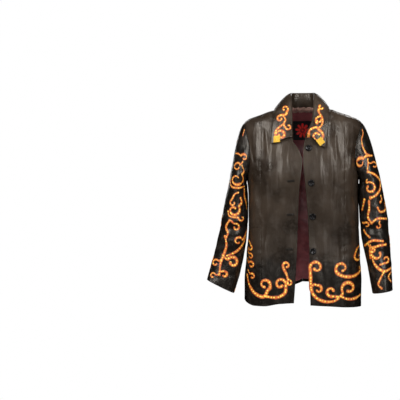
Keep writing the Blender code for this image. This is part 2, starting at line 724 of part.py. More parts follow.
def sleeve_surface(side):
    """The outer face of a sleeve by (down, degrees); down is 0 at the armhole, 1 below the
    underarm and 2 at the cuff, and degrees run as in the armhole."""
    table = np.array(LEFT_SLEEVE if side > 0 else RIGHT_SLEEVE)
    steps = np.linalg.norm(np.diff(table[:, :3], axis=0), axis=1)
    shares = np.concatenate([[0.0], np.cumsum(steps)]) / steps.sum()
    rings = smooth_curve(np.column_stack([shares, table]))

    def arm(share, degrees):
        x, y, z, half_width, half_depth, slope = np.moveaxis(rings(share), -1, 0)
        t, slope = np.radians(degrees), np.radians(slope)
        out = half_width * np.cos(t)
        return np.stack(
            [
                side * (x + out * np.cos(slope)),
                y - half_depth * np.sin(t),
                z + out * np.sin(slope) + 0 * t,
            ],
            axis=-1,
        )

    def hole(degrees):
        turn, height = armhole(degrees)
        return body(side * turn, height)

    def cap(share, degrees):
        start, arrival = hole(degrees), arm(np.zeros_like(share), degrees)
        turn, height = armhole(degrees)
        normal = body_normal(side * turn, height)
        along = unit(hole(degrees + 0.5) - hole(degrees - 0.5))
        into_hole = side * np.cross(normal, along)
        t = np.radians(degrees)
        top = (1 + np.cos(t)) / 2
        heading = unit(
            np.stack([side * (0.35 + 0.65 * top), -0.3 * np.sin(t), -1.0 + 0.35 * top], axis=-1)
        )
        angle = np.arccos(np.clip((into_hole * heading).sum(axis=-1), -1, 1))[..., None] / 2
        start = start + SEAM_GAP * (into_hole * np.cos(angle) + normal * np.sin(angle))
        reach = np.linalg.norm(arrival - start, axis=-1)[..., None]
        leave = heading * reach * SLEEVE_START
        downwards = unit(arm(np.full_like(share, 0.05), degrees) - arrival)
        arrive = downwards * reach * SLEEVE_ARRIVAL
        s = share[..., None]
        return (
            start * (1 + 2 * s) * (1 - s) ** 2
            + leave * s * (1 - s) ** 2
            + arrival * s * s * (3 - 2 * s)
            - arrive * s * s * (1 - s)
        )

    def plain(down, degrees):
        down, degrees = np.broadcast_arrays(np.asarray(down, float), np.asarray(degrees, float))
        upper = cap(np.clip(down, 0, 1), degrees)
        return np.where((down > 1)[..., None], arm(np.clip(down - 1, 0, 1), degrees), upper)

    def normal(down, degrees):
        small = 0.01
        low, high = np.clip(down - small, 0, 2), np.clip(down + small, 0, 2)
        length = plain(high, degrees) - plain(low, degrees)
        around = plain(down, degrees + 0.5) - plain(down, degrees - 0.5)
        return unit(np.cross(around, length)) * side

    def surface(down, degrees, lift=0.0):
        points, out = plain(down, degrees), normal(down, degrees)
        rise = np.full(points.shape[:-1], float(lift))
        for turn, height, half_turn, half_length, amount in SLEEVE_FOLDS:
            off = (degrees - turn) / half_turn
            rise += amount * np.exp(-(off**2) - ((points[..., 2] - height) / half_length) ** 2)
        return points + out * rise[..., None]

    return surface


def build_sleeves(group):
    cap_shares = np.linspace(0, 1, CAP_ROWS + 1)
    down = np.concatenate([cap_shares, 1 + np.linspace(0, 1, ARM_ROWS + 1)[1:]])
    for side, word in ((1, "left"), (-1, "right")):
        surface = sleeve_surface(side)
        pieces = (
            (f"top_sleeve_{word}", SLEEVE_BACK_SEAM, SLEEVE_FRONT_SEAM),
            (f"under_sleeve_{word}", SLEEVE_FRONT_SEAM, SLEEVE_BACK_SEAM + 360),
        )
        for name, start, end in pieces:
            columns = round((end - start) * ARMHOLE_CELLS / 180)
            degrees = np.tile(np.linspace(start, end, columns + 1), (len(down), 1))
            for column, sign in ((0, 1), (-1, -1)):
                edge = degrees[:, column]
                step = surface(down, edge + 0.5) - surface(down, edge - 0.5)
                degrees[:, column] += sign * HALF_GAP / np.linalg.norm(step, axis=-1)
            rows = np.tile(down[:, None], (1, columns + 1))
            outer, inner = surface(rows, degrees), surface(rows, degrees, -WALL)
            wall(name, outer, inner, LEATHER, group)


# Collar


def neck_edge():
    """The neck edge of the body from the right front end round to the left, with normals."""
    rows = {(side, back): neck_cells(side, back) for side in (-1, 1) for back in (False, True)}
    halves = []
    for side in (-1, 1):
        front, back = rows[side, False], rows[side, True]
        shared = (front[:, -1:] + back[:, -1:]) / 2
        halves.append(np.concatenate([front[:, :-1], shared, back[:, -2:0:-1]], axis=1))
    middle = (rows[-1, True][:, :1] + rows[1, True][:, :1]) / 2
    points, normals = np.concatenate([halves[0], middle, halves[1][:, ::-1]], axis=1)
    return points, unit(normals)


def collar_stations(shares):
    """Fold and outer edge of the collar at signed shares of the neckline."""
    folds, edges = np.zeros((len(shares), 3)), np.zeros((len(shares), 3))
    for side, front in ((-1, COLLAR_RIGHT_FRONT), (1, COLLAR_LEFT_FRONT)):
        rows = [(share, side * f[0], *f[1:], side * e[0], *e[1:]) for share, f, e in COLLAR_BACK]
        for share, fold, (x, height) in front:
            edge = body(turn_of_x(x, height), np.array(height), COLLAR_LIFT)
            rows.append((share, *fold, *edge))
        here = (shares * side > 0) | (shares == 0)
        found = smooth_curve(rows)(np.abs(shares[here]))
        folds[here], edges[here] = found[:, :3], found[:, 3:]
    return folds, edges


def bezier(controls, t):
    """Points of the curves with these control points, one row for each t."""
    t = np.asarray(t, float)[:, None, None]
    points = [np.asarray(control)[None] for control in controls]
    while len(points) > 1:
        points = [(1 - t) * a + t * b for a, b in zip(points, points[1:])]
    return points[0]


def grid_normals(grid):
    return unit(np.cross(np.gradient(grid, axis=1), np.gradient(grid, axis=0)))


def build_collar(group):
    """One sheet that stands round the neck, rolls over and falls outside itself.

    Returns its top face from the fold to the outer edge, with the normals.
    """
    points, normals = neck_edge()
    along = unit(np.gradient(points, axis=0))
    upwards = unit(np.cross(along, normals))
    seam = points + NECK_SEAM_GAP * upwards
    steps = np.concatenate([[0.0], np.cumsum(np.linalg.norm(np.diff(points, axis=0), axis=1))])
    middle = len(points) // 2
    before, after = steps[middle], steps[-1] - steps[middle]
    shares = (steps - steps[middle]) / np.where(steps < steps[middle], before, after)
    folds, edges = collar_stations(shares)
    height = np.linalg.norm(folds - seam, axis=1, keepdims=True)
    bend = seam + 0.45 * height * upwards
    stand = bezier((seam, bend, folds), np.linspace(0, 1, STAND_ROWS + 1))
    leave = unit(folds - bend)
    back = folds - edges
    fold_out = unit(np.cross(leave, np.gradient(folds, axis=0)))
    away = unit(np.cross(back, np.gradient(folds + edges, axis=0)))
    roll = folds + COLLAR_ROLL * leave + COLLAR_BULGE * away / 2
    controls = (folds, roll, edges + 0.45 * back + COLLAR_BULGE * away, edges)
    fall = bezier(controls, np.linspace(0, 1, FALL_ROWS + 1) ** 1.25)
    stand_out, fall_out = -grid_normals(stand), grid_normals(fall)
    stand_out[0], fall_out[0] = normals, -fold_out
    under = np.concatenate([stand[:-1], fall])
    top = under + COLLAR_WALL * np.concatenate([-stand_out[:-1], fall_out])
    wall("collar", top, under, LEATHER, group)
    return top[STAND_ROWS:], fall_out


def build_collar_corners(top_face, out, group):
    """A square metal plate lying on each point of the collar."""
    last_row, last_column = top_face.shape[0] - 1, top_face.shape[1] - 1
    for word, end, inwards in (("right", 0, 1), ("left", last_column, -1)):
        row_size = np.linalg.norm(top_face[-1, end] - top_face[-2, end])
        column_size = np.linalg.norm(top_face[-1, end] - top_face[-1, end + inwards])
        steps = STUD_EDGE + np.linspace(0, STUD_SIDE, 4)
        row, column = np.meshgrid(
            last_row - steps / row_size, end + inwards * steps / column_size, indexing="ij"
        )
        points, normals = bilinear(top_face, row, column), unit(bilinear(out, row, column))
        under = points + SEAM_GAP * normals
        wall(f"collar_corner_{word}", under + STUD_THICKNESS * normals, under, GOLD, group)


# Fastenings


def build_buttons(group):
    """Turned discs, each laid flat on the front by the highest point beneath it."""
    mesh = bpy.data.meshes.new("button")
    points = [(radius, 0.0, rise) for radius, rise in BUTTON_PROFILE]
    mesh.from_pydata(points, [(i, i + 1) for i in range(len(points) - 1)], [])
    mesh.materials.append(material(*HORN))
    angles = np.linspace(0, 2 * np.pi, BUTTON_SIDES, endpoint=False)
    for number, (x, height) in enumerate(BUTTONS, 1):
        out = body_normal(turn_of_x(x, height), np.array(height))
        around_x, around_z = x + BUTTON_FOOT * np.cos(angles), height + BUTTON_FOOT * np.sin(angles)
        beneath = met_from("front_left", -1.0, around_x, around_z)
        centre = beneath.mean(axis=0)
        centre += out * (((beneath - centre) @ out).max() + SEAM_GAP)
        button = bpy.data.objects.new(f"button_{number}", mesh)
        button.location = centre
        button.rotation_euler = Vector(out).to_track_quat("Z", "Y").to_euler()
        turned = button.modifiers.new("Turned", "SCREW")
        turned.steps = turned.render_steps = BUTTON_SIDES
        turned.use_merge_vertices = True
        turned.merge_threshold = 0.0001
        group.objects.link(button)


def build_buttonholes(group):
    """Bound holes, each a frame of leather round a slit, laid on the right front."""
    for number, (x, height) in enumerate(HOLES, 2):
        columns = x + HOLE_LENGTH * (np.linspace(0, 1, 8) - 0.5)
        rows = height + HOLE_HEIGHT * (np.array([0.0, 0.4, 0.6, 1.0]) - 0.5)
        x_grid, height_grid = np.meshgrid(columns, rows)
        normal = body_normal(turn_of_x(x_grid, height_grid), height_grid)
        under = met_from("front_right", -1.0, x_grid, height_grid) + HOLE_GAP * normal
        slit = [(1, column) for column in range(1, 6)]
        outer = under + HOLE_THICKNESS * normal
        wall(f"buttonhole_{number}", outer, under, LEATHER, group, slit)


def main():
    clear_scene()
    jacket = collection("leather_jacket")
    build_body(jacket)
    build_lining(jacket)
    build_sleeves(jacket)
    top_face, out = build_collar(jacket)
    build_collar_corners(top_face, out, jacket)
    build_buttons(jacket)
    build_buttonholes(jacket)


main()
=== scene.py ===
"""Looks of a hip-length black leather jacket painted with gold scrollwork, worn open.

Every sheet is built again, finer and creased, on the same rings, seams and collar stations as
the solids of the frame. Metres, +Z up, the front faces -Y and the wearer's left is +X.
"""

import bpy
import numpy as np
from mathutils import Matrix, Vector
from mathutils.bvhtree import BVHTree


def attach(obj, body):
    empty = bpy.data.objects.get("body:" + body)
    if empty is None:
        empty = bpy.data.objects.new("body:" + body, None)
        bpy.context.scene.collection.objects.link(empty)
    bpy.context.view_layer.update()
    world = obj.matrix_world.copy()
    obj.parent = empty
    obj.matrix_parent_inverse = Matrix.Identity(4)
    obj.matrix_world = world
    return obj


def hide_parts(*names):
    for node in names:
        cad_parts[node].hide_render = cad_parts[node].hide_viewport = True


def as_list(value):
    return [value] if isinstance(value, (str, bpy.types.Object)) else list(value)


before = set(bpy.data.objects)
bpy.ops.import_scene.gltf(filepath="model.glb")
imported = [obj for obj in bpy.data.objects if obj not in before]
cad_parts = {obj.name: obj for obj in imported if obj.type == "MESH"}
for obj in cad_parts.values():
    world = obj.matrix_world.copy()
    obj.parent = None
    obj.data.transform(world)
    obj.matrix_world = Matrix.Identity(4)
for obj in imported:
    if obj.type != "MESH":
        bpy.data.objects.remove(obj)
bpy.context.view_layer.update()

# Sides of the wearer, as the sign of x and a word
SIDES = ((1, "left"), (-1, "right"))

# Cloth and seams. The sheets meet closer here than the solids, so that no light shows through
WALL = 0.0020
LINING_WALL = 0.0008
LINING_GAP = 0.0003
SEAM_GAP = 0.00006
NECK_SEAM_GAP = 0.00010
HALF_GAP = SEAM_GAP / 2

# Body rings, from the hem up to the neck
BODY_CENTRE_Y = 0.005
SQUARENESS = 0.030
BODY_RINGS = (
    # height, half width, front depth, back depth
    (-0.720, 0.213, 0.121, 0.116),
    (-0.620, 0.212, 0.119, 0.113),
    (-0.520, 0.203, 0.113, 0.103),
    (-0.425, 0.195, 0.109, 0.094),
    (-0.330, 0.196, 0.113, 0.100),
    (-0.280, 0.199, 0.116, 0.105),
    (-0.240, 0.204, 0.117, 0.108),
    (-0.170, 0.211, 0.112, 0.108),
    (-0.100, 0.215, 0.098, 0.101),
    (-0.060, 0.216, 0.087, 0.092),
    (-0.042, 0.214, 0.081, 0.086),
    (-0.030, 0.200, 0.076, 0.081),
    (-0.015, 0.163, 0.068, 0.073),
    (0.000, 0.121, 0.060, 0.065),
    (0.007, 0.097, 0.056, 0.060),
    (0.014, 0.072, 0.052, 0.055),
    (0.030, 0.060, 0.048, 0.051),
)

# Seams of the body
NECK_POINT_HEIGHT = 0.014
BACK_NECK_HEIGHT = 0.009
SHOULDER_POINT_HEIGHT = -0.042
UNDERARM_HEIGHT = -0.240
WAIST_HEIGHT = -0.425
PRINCESS_X = 0.150
ARMHOLE_FRONT_TURN = 31.0
ARMHOLE_BACK_TURN = 30.0
ARMHOLE_DROOP = 0.18
ARMHOLE_MIDDLE = (0.30, -0.141)
NECK_CURVE = 0.75
# Flat points above the two necklines, so outside the panels
ABOVE_BACK_NECK = (0.0, 0.1)
ABOVE_FRONT_NECK = (0.0, 0.014)
# Heights about the hem: at the front edge, at the princess seam, and below all of it
FRONT_HEM_HEIGHT = -0.70
PRINCESS_HEM_HEIGHT = -0.705
BELOW_HEM = -0.74

# Hem height around the body: the back is lifted at its middle
HEM = (
    # degrees from the centre front (wearer's left is positive), height
    (-180, -0.633),
    (-168, -0.655),
    (-160, -0.680),
    (-145, -0.693),
    (-120, -0.699),
    (-90, -0.690),
    (-68, -0.700),
    (-52, -0.708),
    (-38, -0.708),
    (-20, -0.698),
    (-5, -0.694),
    (5, -0.701),
    (25, -0.706),
    (45, -0.710),
    (90, -0.712),
    (118, -0.715),
    (132, -0.709),
    (142, -0.686),
    (152, -0.650),
    (165, -0.635),
    (180, -0.633),
)

# Front edges, by side of the wearer
RIGHT_FRONT_EDGE = (
    # height, x
    (-0.720, -0.033),
    (-0.600, -0.025),
    (-0.500, -0.020),
    (-0.400, -0.017),
    (-0.290, -0.012),
    (-0.184, -0.002),
    (-0.150, -0.012),
    (-0.116, -0.034),
)
LEFT_FRONT_EDGE = (
    # height, x
    (-0.720, 0.028),
    (-0.600, 0.025),
    (-0.500, 0.023),
    (-0.400, 0.019),
    (-0.290, 0.011),
    (-0.184, 0.002),
    (-0.150, 0.002),
    (-0.104, 0.008),
)

# Soft folds of the body, as low ridges that run down the cloth
FOLDS = (
    # face (1 front, -1 back), x top, x foot, height top, height foot, half width, rise
    (1, -0.112, -0.120, -0.110, -0.470, 0.020, 0.0045),
    (1, -0.066, -0.072, -0.160, -0.560, 0.022, 0.0040),
    (1, -0.178, -0.176, -0.070, -0.460, 0.016, 0.0030),
    (1, 0.106, 0.112, -0.075, -0.500, 0.020, 0.0050),
    (1, 0.052, 0.060, -0.170, -0.430, 0.026, 0.0045),
    (1, 0.162, 0.176, -0.080, -0.430, 0.016, 0.0030),
    (1, 0.090, 0.098, -0.430, -0.730, 0.034, -0.0040),
    (1, -0.100, -0.104, -0.430, -0.730, 0.034, -0.0040),
    (-1, -0.110, -0.120, -0.120, -0.640, 0.026, 0.0050),
    (-1, 0.104, 0.118, -0.120, -0.640, 0.026, 0.0050),
    (-1, -0.048, -0.060, -0.240, -0.620, 0.022, -0.0040),
    (-1, 0.046, 0.066, -0.240, -0.620, 0.022, -0.0040),
)

# Sleeves, as rings down the arm below the underarm; x is measured outwards from the middle
RIGHT_SLEEVE = (
    # x, y, height, half width, half depth, slope in degrees
    (0.2375, 0.003, -0.262, 0.0325, 0.066, 8),
    (0.2450, -0.001, -0.345, 0.0415, 0.060, 10),
    (0.2530, -0.008, -0.425, 0.0475, 0.053, 12),
    (0.2660, -0.018, -0.510, 0.0525, 0.044, 14),
    (0.2840, -0.032, -0.590, 0.0555, 0.035, 18),
    (0.2990, -0.042, -0.641, 0.0555, 0.030, 26),
)
LEFT_SLEEVE = (
    # x, y, height, half width, half depth, slope in degrees
    (0.2450, 0.003, -0.262, 0.0390, 0.066, 5),
    (0.2560, -0.002, -0.345, 0.0445, 0.061, 7),
    (0.2640, -0.010, -0.425, 0.0465, 0.057, 6),
    (0.2710, -0.020, -0.510, 0.0450, 0.053, 6),
    (0.2800, -0.034, -0.590, 0.0410, 0.050, 8),
    (0.2870, -0.044, -0.656, 0.0365, 0.049, 10),
)
# How firmly the cap leaves the armhole and arrives at the arm
SLEEVE_START = 0.45
SLEEVE_ARRIVAL = 0.55
SLEEVE_FRONT_SEAM = 135.0
SLEEVE_BACK_SEAM = -112.5
SLEEVE_FOLDS = (
    # degrees round the arm, height, half turn, half length, rise
    (60, -0.395, 75, 0.020, 0.0030),
    (85, -0.430, 60, 0.013, -0.0040),
    (70, -0.470, 70, 0.018, 0.0025),
    (-80, -0.420, 60, 0.022, -0.0030),
)

# Collar stations from the centre back to a front end, mirrored apart from the two ends
COLLAR_WALL = 0.0024
COLLAR_BACK = (
    # share of the neckline from the centre back, fold (x, y, z), outer edge (x, y, z)
    (0.00, (0.000, 0.050, 0.066), (0.000, 0.0765, 0.022)),
    (0.14, (0.023, 0.047, 0.066), (0.038, 0.0745, 0.021)),
    (0.28, (0.037, 0.036, 0.065), (0.075, 0.0590, 0.019)),
)
COLLAR_RIGHT_FRONT = (
    # share, fold (x, y, z), outer edge (x, height) on the front panel
    (0.43, (-0.044, 0.012, 0.061), (-0.098, 0.0060)),
    (0.51, (-0.043, -0.008, 0.056), (-0.101, 0.0020)),
    (0.58, (-0.042, -0.022, 0.045), (-0.103, -0.015)),
    (0.72, (-0.040, -0.054, 0.010), (-0.107, -0.055)),
    (0.86, (-0.038, -0.082, -0.046), (-0.111, -0.094)),
    (1.00, (-0.036, -0.101, -0.104), (-0.114, -0.125)),
)
COLLAR_LEFT_FRONT = (
    # share, fold (x, y, z), outer edge (x, height) on the front panel
    (0.43, (0.044, 0.012, 0.061), (0.092, 0.0075)),
    (0.51, (0.043, -0.008, 0.056), (0.094, 0.0040)),
    (0.58, (0.042, -0.022, 0.045), (0.095, -0.012)),
    (0.72, (0.040, -0.054, 0.010), (0.091, -0.055)),
    (0.86, (0.034, -0.083, -0.040), (0.086, -0.101)),
    (1.00, (0.012, -0.103, -0.092), (0.079, -0.143)),
)
COLLAR_LIFT = 0.0045
COLLAR_ROLL = 0.013
COLLAR_BULGE = 0.009
# How far the handles of its curves reach, and how much closer its rows lie at the fold
COLLAR_PULL = 0.45
COLLAR_GRADING = 1.25

# Buttons on the wearer's left front and bound holes on the right one, as (x, height). The
# hole of the top button is behind the collar and isn't cut.
BUTTONS = ((0.0210, -0.140), (0.0300, -0.265), (0.0355, -0.385), (0.0365, -0.509))
HOLES = ((-0.0420, -0.258), (-0.0435, -0.378), (-0.0470, -0.502))
BUTTON_FOOT = 0.0105
HOLE_LENGTH = 0.026
HOLE_HEIGHT = 0.0080

# The patch at the neck
LABEL_HALF_WIDTH = 0.036
LABEL_TOP = -0.030
LABEL_FOOT = -0.100

# Fineness of the sheets, in cells
LOWER_ROWS = 56
UPPER_ROWS = 96
NECK_CELLS = 40
FRONT_COLUMNS = 38
SHOULDER_COLUMNS = 14
SIDE_COLUMNS = 26
ARMHOLE_CELLS = 56
CAP_ROWS = 30
ARM_ROWS = 84
STAND_ROWS = 10
FALL_ROWS = 36
ROW_GRADING = 1.2
# Rows above the hem at which the linings start
FRONT_LINING_START = 9
BACK_LINING_START = 3

# Rounded edges: how far inside an edge each added line of points lies, and how low it sits
EDGE_LINES = (
    # share of the first cell, drop
    (0.00, 0.00095),
    (0.14, 0.00042),
    (0.36, 0.00012),
    (0.70, 0.00000),
)
# Share of that drop on a sheet's inner face
INNER_DROP = 0.3
# The least share of its flat rectangle that a cut's area is stated as
LEAST_CUT_SHARE = 0.31

# Creases of the body: soft troughs and ridges between two points of one face
CREASES = (
    # face, x and height of one end, x and height of the other, bow, half width, rise
    (1, -0.196, -0.100, -0.168, -0.215, 0.006, 0.007, 0.0016),
    (1, -0.184, -0.120, -0.160, -0.250, 0.004, 0.006, -0.0013),
    (1, -0.138, -0.060, -0.126, -0.170, -0.004, 0.009, 0.0018),
    (1, -0.170, -0.300, -0.140, -0.420, 0.005, 0.008, 0.0015),
    (1, -0.122, -0.230, -0.104, -0.410, 0.003, 0.008, -0.0016),
    (1, -0.082, -0.200, -0.070, -0.390, -0.003, 0.010, 0.0017),
    (1, -0.050, -0.160, -0.034, -0.260, 0.004, 0.007, 0.0016),
    (1, -0.030, -0.300, -0.046, -0.460, 0.003, 0.008, -0.0012),
    (1, -0.135, -0.455, -0.118, -0.610, 0.004, 0.010, 0.0014),
    (1, 0.118, -0.075, 0.126, -0.190, 0.005, 0.008, 0.0019),
    (1, 0.104, -0.120, 0.112, -0.330, -0.005, 0.008, -0.0017),
    (1, 0.178, -0.090, 0.160, -0.240, -0.005, 0.007, 0.0016),
    (1, 0.192, -0.150, 0.172, -0.290, -0.004, 0.006, -0.0012),
    (1, 0.060, -0.150, 0.074, -0.300, 0.006, 0.012, 0.0020),
    (1, 0.034, -0.190, 0.044, -0.350, 0.003, 0.008, -0.0013),
    (1, 0.146, -0.330, 0.176, -0.450, 0.004, 0.008, 0.0016),
    (1, 0.128, -0.400, 0.140, -0.590, -0.004, 0.010, -0.0014),
    (1, 0.070, -0.430, 0.080, -0.600, 0.004, 0.011, 0.0014),
    (-1, -0.190, -0.110, -0.150, -0.240, 0.006, 0.008, 0.0016),
    (-1, -0.160, -0.300, -0.120, -0.420, 0.004, 0.010, -0.0015),
    (-1, -0.060, -0.120, -0.040, -0.300, -0.004, 0.012, 0.0014),
    (-1, -0.020, -0.360, -0.050, -0.540, 0.004, 0.010, 0.0015),
    (-1, -0.110, -0.440, -0.128, -0.620, 0.003, 0.011, -0.0013),
    (-1, 0.188, -0.120, 0.150, -0.260, -0.006, 0.008, 0.0017),
    (-1, 0.164, -0.280, 0.130, -0.430, -0.004, 0.009, -0.0015),
    (-1, 0.070, -0.100, 0.050, -0.280, 0.004, 0.012, -0.0013),
    (-1, 0.024, -0.330, 0.056, -0.560, -0.004, 0.011, 0.0016),
    (-1, 0.112, -0.450, 0.136, -0.640, 0.003, 0.010, 0.0013),
)
# What the table's widths and rises are multiplied by
CREASE_WIDTH = 0.8
CREASE_RISE = 1.5
# Puckers of the seams: their rise, and pitch and reach at the princess and waist seams
SEAM_PUCKER = 0.0008
PRINCESS_PUCKER = (0.011, 0.011)
WAIST_PUCKER = (0.012, 0.010)
# Keeps the noise of the back apart from that of the front
FACE_SHIFT = 50
# Unevenness of worn leather
BODY_BUMPS = (
    # rise, length along x, length along the height, seed
    (0.0012, 0.030, 0.105, 7),
    (0.0008, 0.014, 0.075, 11),
)
ARM_BUMPS = (
    # rise, degrees round the arm, length along the height, seed
    (0.0009, 22.5, 0.045, 13),
    (0.0004, 9, 0.016, 17),
)
# How far the worn leather stands out at the waist, on the left and on the right, the height
# and reach of that fullness, and the x at which it starts and the width over which it builds up
SIDE_FULLNESS = (0.0095, 0.0035)
FULLNESS_HEIGHT = -0.42
FULLNESS_REACH = 0.13
FULLNESS_START = 0.14
FULLNESS_BUILD = 0.05
# How far each sleeve sags towards the body on its inner side, left and right, and where down
# the sleeve and over how wide a half turn it does
INNER_FULLNESS = (0.0085, 0.0045)
SAG_START = 0.9
SAG_END = 1.75
SAG_HALF_TURN = 55
# The creases of a sleeve fade in over this share of its cap
CAP_SETTLE = 0.25
# Gathers along the armhole: rise, degrees of each, and how far down the cap they reach
CAP_GATHER = (0.0007, 6, 0.10)
# The back lining's slack folds: their rise, and the height at which they start
LINING_SLACK = 0.0022
LINING_SLACK_TOP = -0.11

# Finer wrinkles of the sleeves, mostly inside the bend of each elbow
ARM_WRINKLES = (
    # degrees round the arm, height, half turn, half length, rise, slant
    (70, -0.355, 55, 0.0080, 0.0018, 0.010),
    (50, -0.378, 45, 0.0065, -0.0018, -0.008),
    (95, -0.405, 60, 0.0075, 0.0020, 0.012),
    (60, -0.441, 50, 0.0070, 0.0018, -0.010),
    (100, -0.462, 55, 0.0065, -0.0016, 0.008),
    (75, -0.498, 45, 0.0080, 0.0015, 0.014),
    (-60, -0.370, 50, 0.0090, 0.0014, 0.010),
    (-100, -0.450, 60, 0.0080, -0.0015, -0.012),
    (-70, -0.520, 50, 0.0090, 0.0014, 0.012),
    (150, -0.420, 40, 0.0070, -0.0016, 0.006),
    (30, -0.560, 60, 0.0100, 0.0012, -0.014),
    (110, -0.600, 55, 0.0090, -0.0013, 0.010),
    (40, -0.160, 40, 0.0120, -0.0013, 0.030),
    (100, -0.230, 35, 0.0090, 0.0014, 0.024),
    (-50, -0.200, 40, 0.0110, 0.0012, -0.026),
)


# Small mathematics


def hermite(low, leave, high, arrive, t):
    """Between two values, left and reached with these slopes."""
    return (
        low * (1 + 2 * t) * (1 - t) ** 2
        + leave * t * (1 - t) ** 2
        + high * t * t * (3 - 2 * t)
        - arrive * t * t * (1 - t)
    )


def smooth_curve(rows):
    """A curve through rows of (place, value, ...) that doesn't overshoot between them."""
    table = np.array(rows, float)
    place, values = table[:, 0], table[:, 1:]
    slopes = np.diff(values, axis=0) / np.diff(place)[:, None]
    tangents = np.zeros_like(values)
    tangents[0], tangents[-1] = slopes[0], slopes[-1]
    before, after = slopes[:-1], slopes[1:]
    agree = before * after > 0
    total = np.where(agree, before + after, 1.0)
    tangents[1:-1] = np.where(agree, 2 * before * after / total, 0.0)

    def at(where):
        where = np.clip(np.asarray(where, float), place[0], place[-1])
        i = np.clip(np.searchsorted(place, where) - 1, 0, len(place) - 2)
        step = (place[i + 1] - place[i])[..., None]
        t = (where - place[i])[..., None] / step
        low, high = values[i], values[i + 1]
        bend_low, bend_high = tangents[i] * step, tangents[i + 1] * step
        return hermite(low, bend_low, high, bend_high, t)

    return at


def lengths_along(line):
    """The distance along a polyline from its first point to each of its points."""
    steps = np.linalg.norm(np.diff(line, axis=0), axis=1)
    return np.concatenate([[0.0], np.cumsum(steps)])


def points_along(line, length, wanted):
    """Points of a polyline at the wanted distances along it."""
    columns = [np.interp(wanted, length, line[:, k]) for k in range(line.shape[1])]
    return np.stack(columns, axis=1)


def resample(points, count):
    """The polyline again with count cells, evenly spaced."""
    points = np.asarray(points, float)
    length = lengths_along(points)
    return points_along(points, length, np.linspace(0, 1, count + 1) * length[-1])


def pairs(first, second):
    """Flat points from their two coordinates, spread over a grid if need be."""
    return np.stack(np.broadcast_arrays(first, second), axis=-1)


def circle(angles):
    return pairs(np.cos(angles), np.sin(angles))


def in_plane(flat, right, up):
    """Flat points as offsets in the plane of two axes."""
    return flat[..., :1] * right + flat[..., 1:] * up


def unit(vectors):
    return vectors / np.linalg.norm(vectors, axis=-1, keepdims=True)


def left_of(line):
    """Unit vectors to the left of a flat line, at its points."""
    step = np.gradient(line, axis=0)
    return unit(pairs(-step[:, 1], step[:, 0]))


def bell(off):
    return np.exp(-(off**2))


def smoothstep(t):
    t = np.clip(t, 0, 1)
    return t * t * (3 - 2 * t)


def ripple(a, b, seed):
    """Smooth noise from -1 to 1 over a plane, one bump for each unit of a or b."""
    lattice = np.random.default_rng(seed).uniform(-1, 1, (96, 96))
    a, b = np.broadcast_arrays(np.asarray(a, float) + 500, np.asarray(b, float) + 500)
    i, j = np.floor(a).astype(int), np.floor(b).astype(int)
    u, v = smoothstep(a - i), smoothstep(b - j)
    corners = [lattice[(i + di) % 96, (j + dj) % 96] for di in (0, 1) for dj in (0, 1)]
    low = corners[0] * (1 - v) + corners[1] * v
    high = corners[2] * (1 - v) + corners[3] * v
    return low * (1 - u) + high * u


# The body as a surface of turn and height

body_sizes = smooth_curve(BODY_RINGS)
hem_curve = smooth_curve(HEM)
right_edge = smooth_curve(RIGHT_FRONT_EDGE)
left_edge = smooth_curve(LEFT_FRONT_EDGE)


def across(turn):
    return (np.sin(turn) + SQUARENESS * np.sin(3 * turn)) / (1 - SQUARENESS)


def along_body(turn):
    return (np.cos(turn) - SQUARENESS * np.cos(3 * turn)) / (1 - SQUARENESS)


def ring(turn, height):
    """A point of the body without folds; turn is 0 at the centre front and positive to +X."""
    turn, height = np.broadcast_arrays(np.asarray(turn, float), np.asarray(height, float))
    half_width, front, back = np.moveaxis(body_sizes(height), -1, 0)
    forward = along_body(turn)
    depth = np.where(forward > 0, front, back)
    return np.stack(
        [half_width * across(turn), BODY_CENTRE_Y - depth * forward, height], axis=-1
    )


def body_normal(turn, height):
    small_turn, small_height = 0.002, 0.0005
    around = ring(turn + small_turn, height) - ring(turn - small_turn, height)
    up = ring(turn, height + small_height) - ring(turn, height - small_height)
    return unit(np.cross(around, up))


def fold_rise(points, forward):
    """How far the folds lift the cloth, at points of the unfolded body."""
    rise = np.zeros(points.shape[:-1])
    for face, x_top, x_foot, top, foot, half_width, height in FOLDS:
        down = (top - points[..., 2]) / (top - foot)
        middle = x_top + (x_foot - x_top) * np.clip(down, 0, 1)
        shape = bell((points[..., 0] - middle) / half_width)
        fade = smoothstep(down / 0.3) * smoothstep((1 - down) / 0.3)
        if foot < FRONT_HEM_HEIGHT:
            # A fold that runs out at the hem only fades in
            fade = smoothstep(down / 0.5)
        rise += height * shape * fade * smoothstep(3 * face * forward)
    return rise


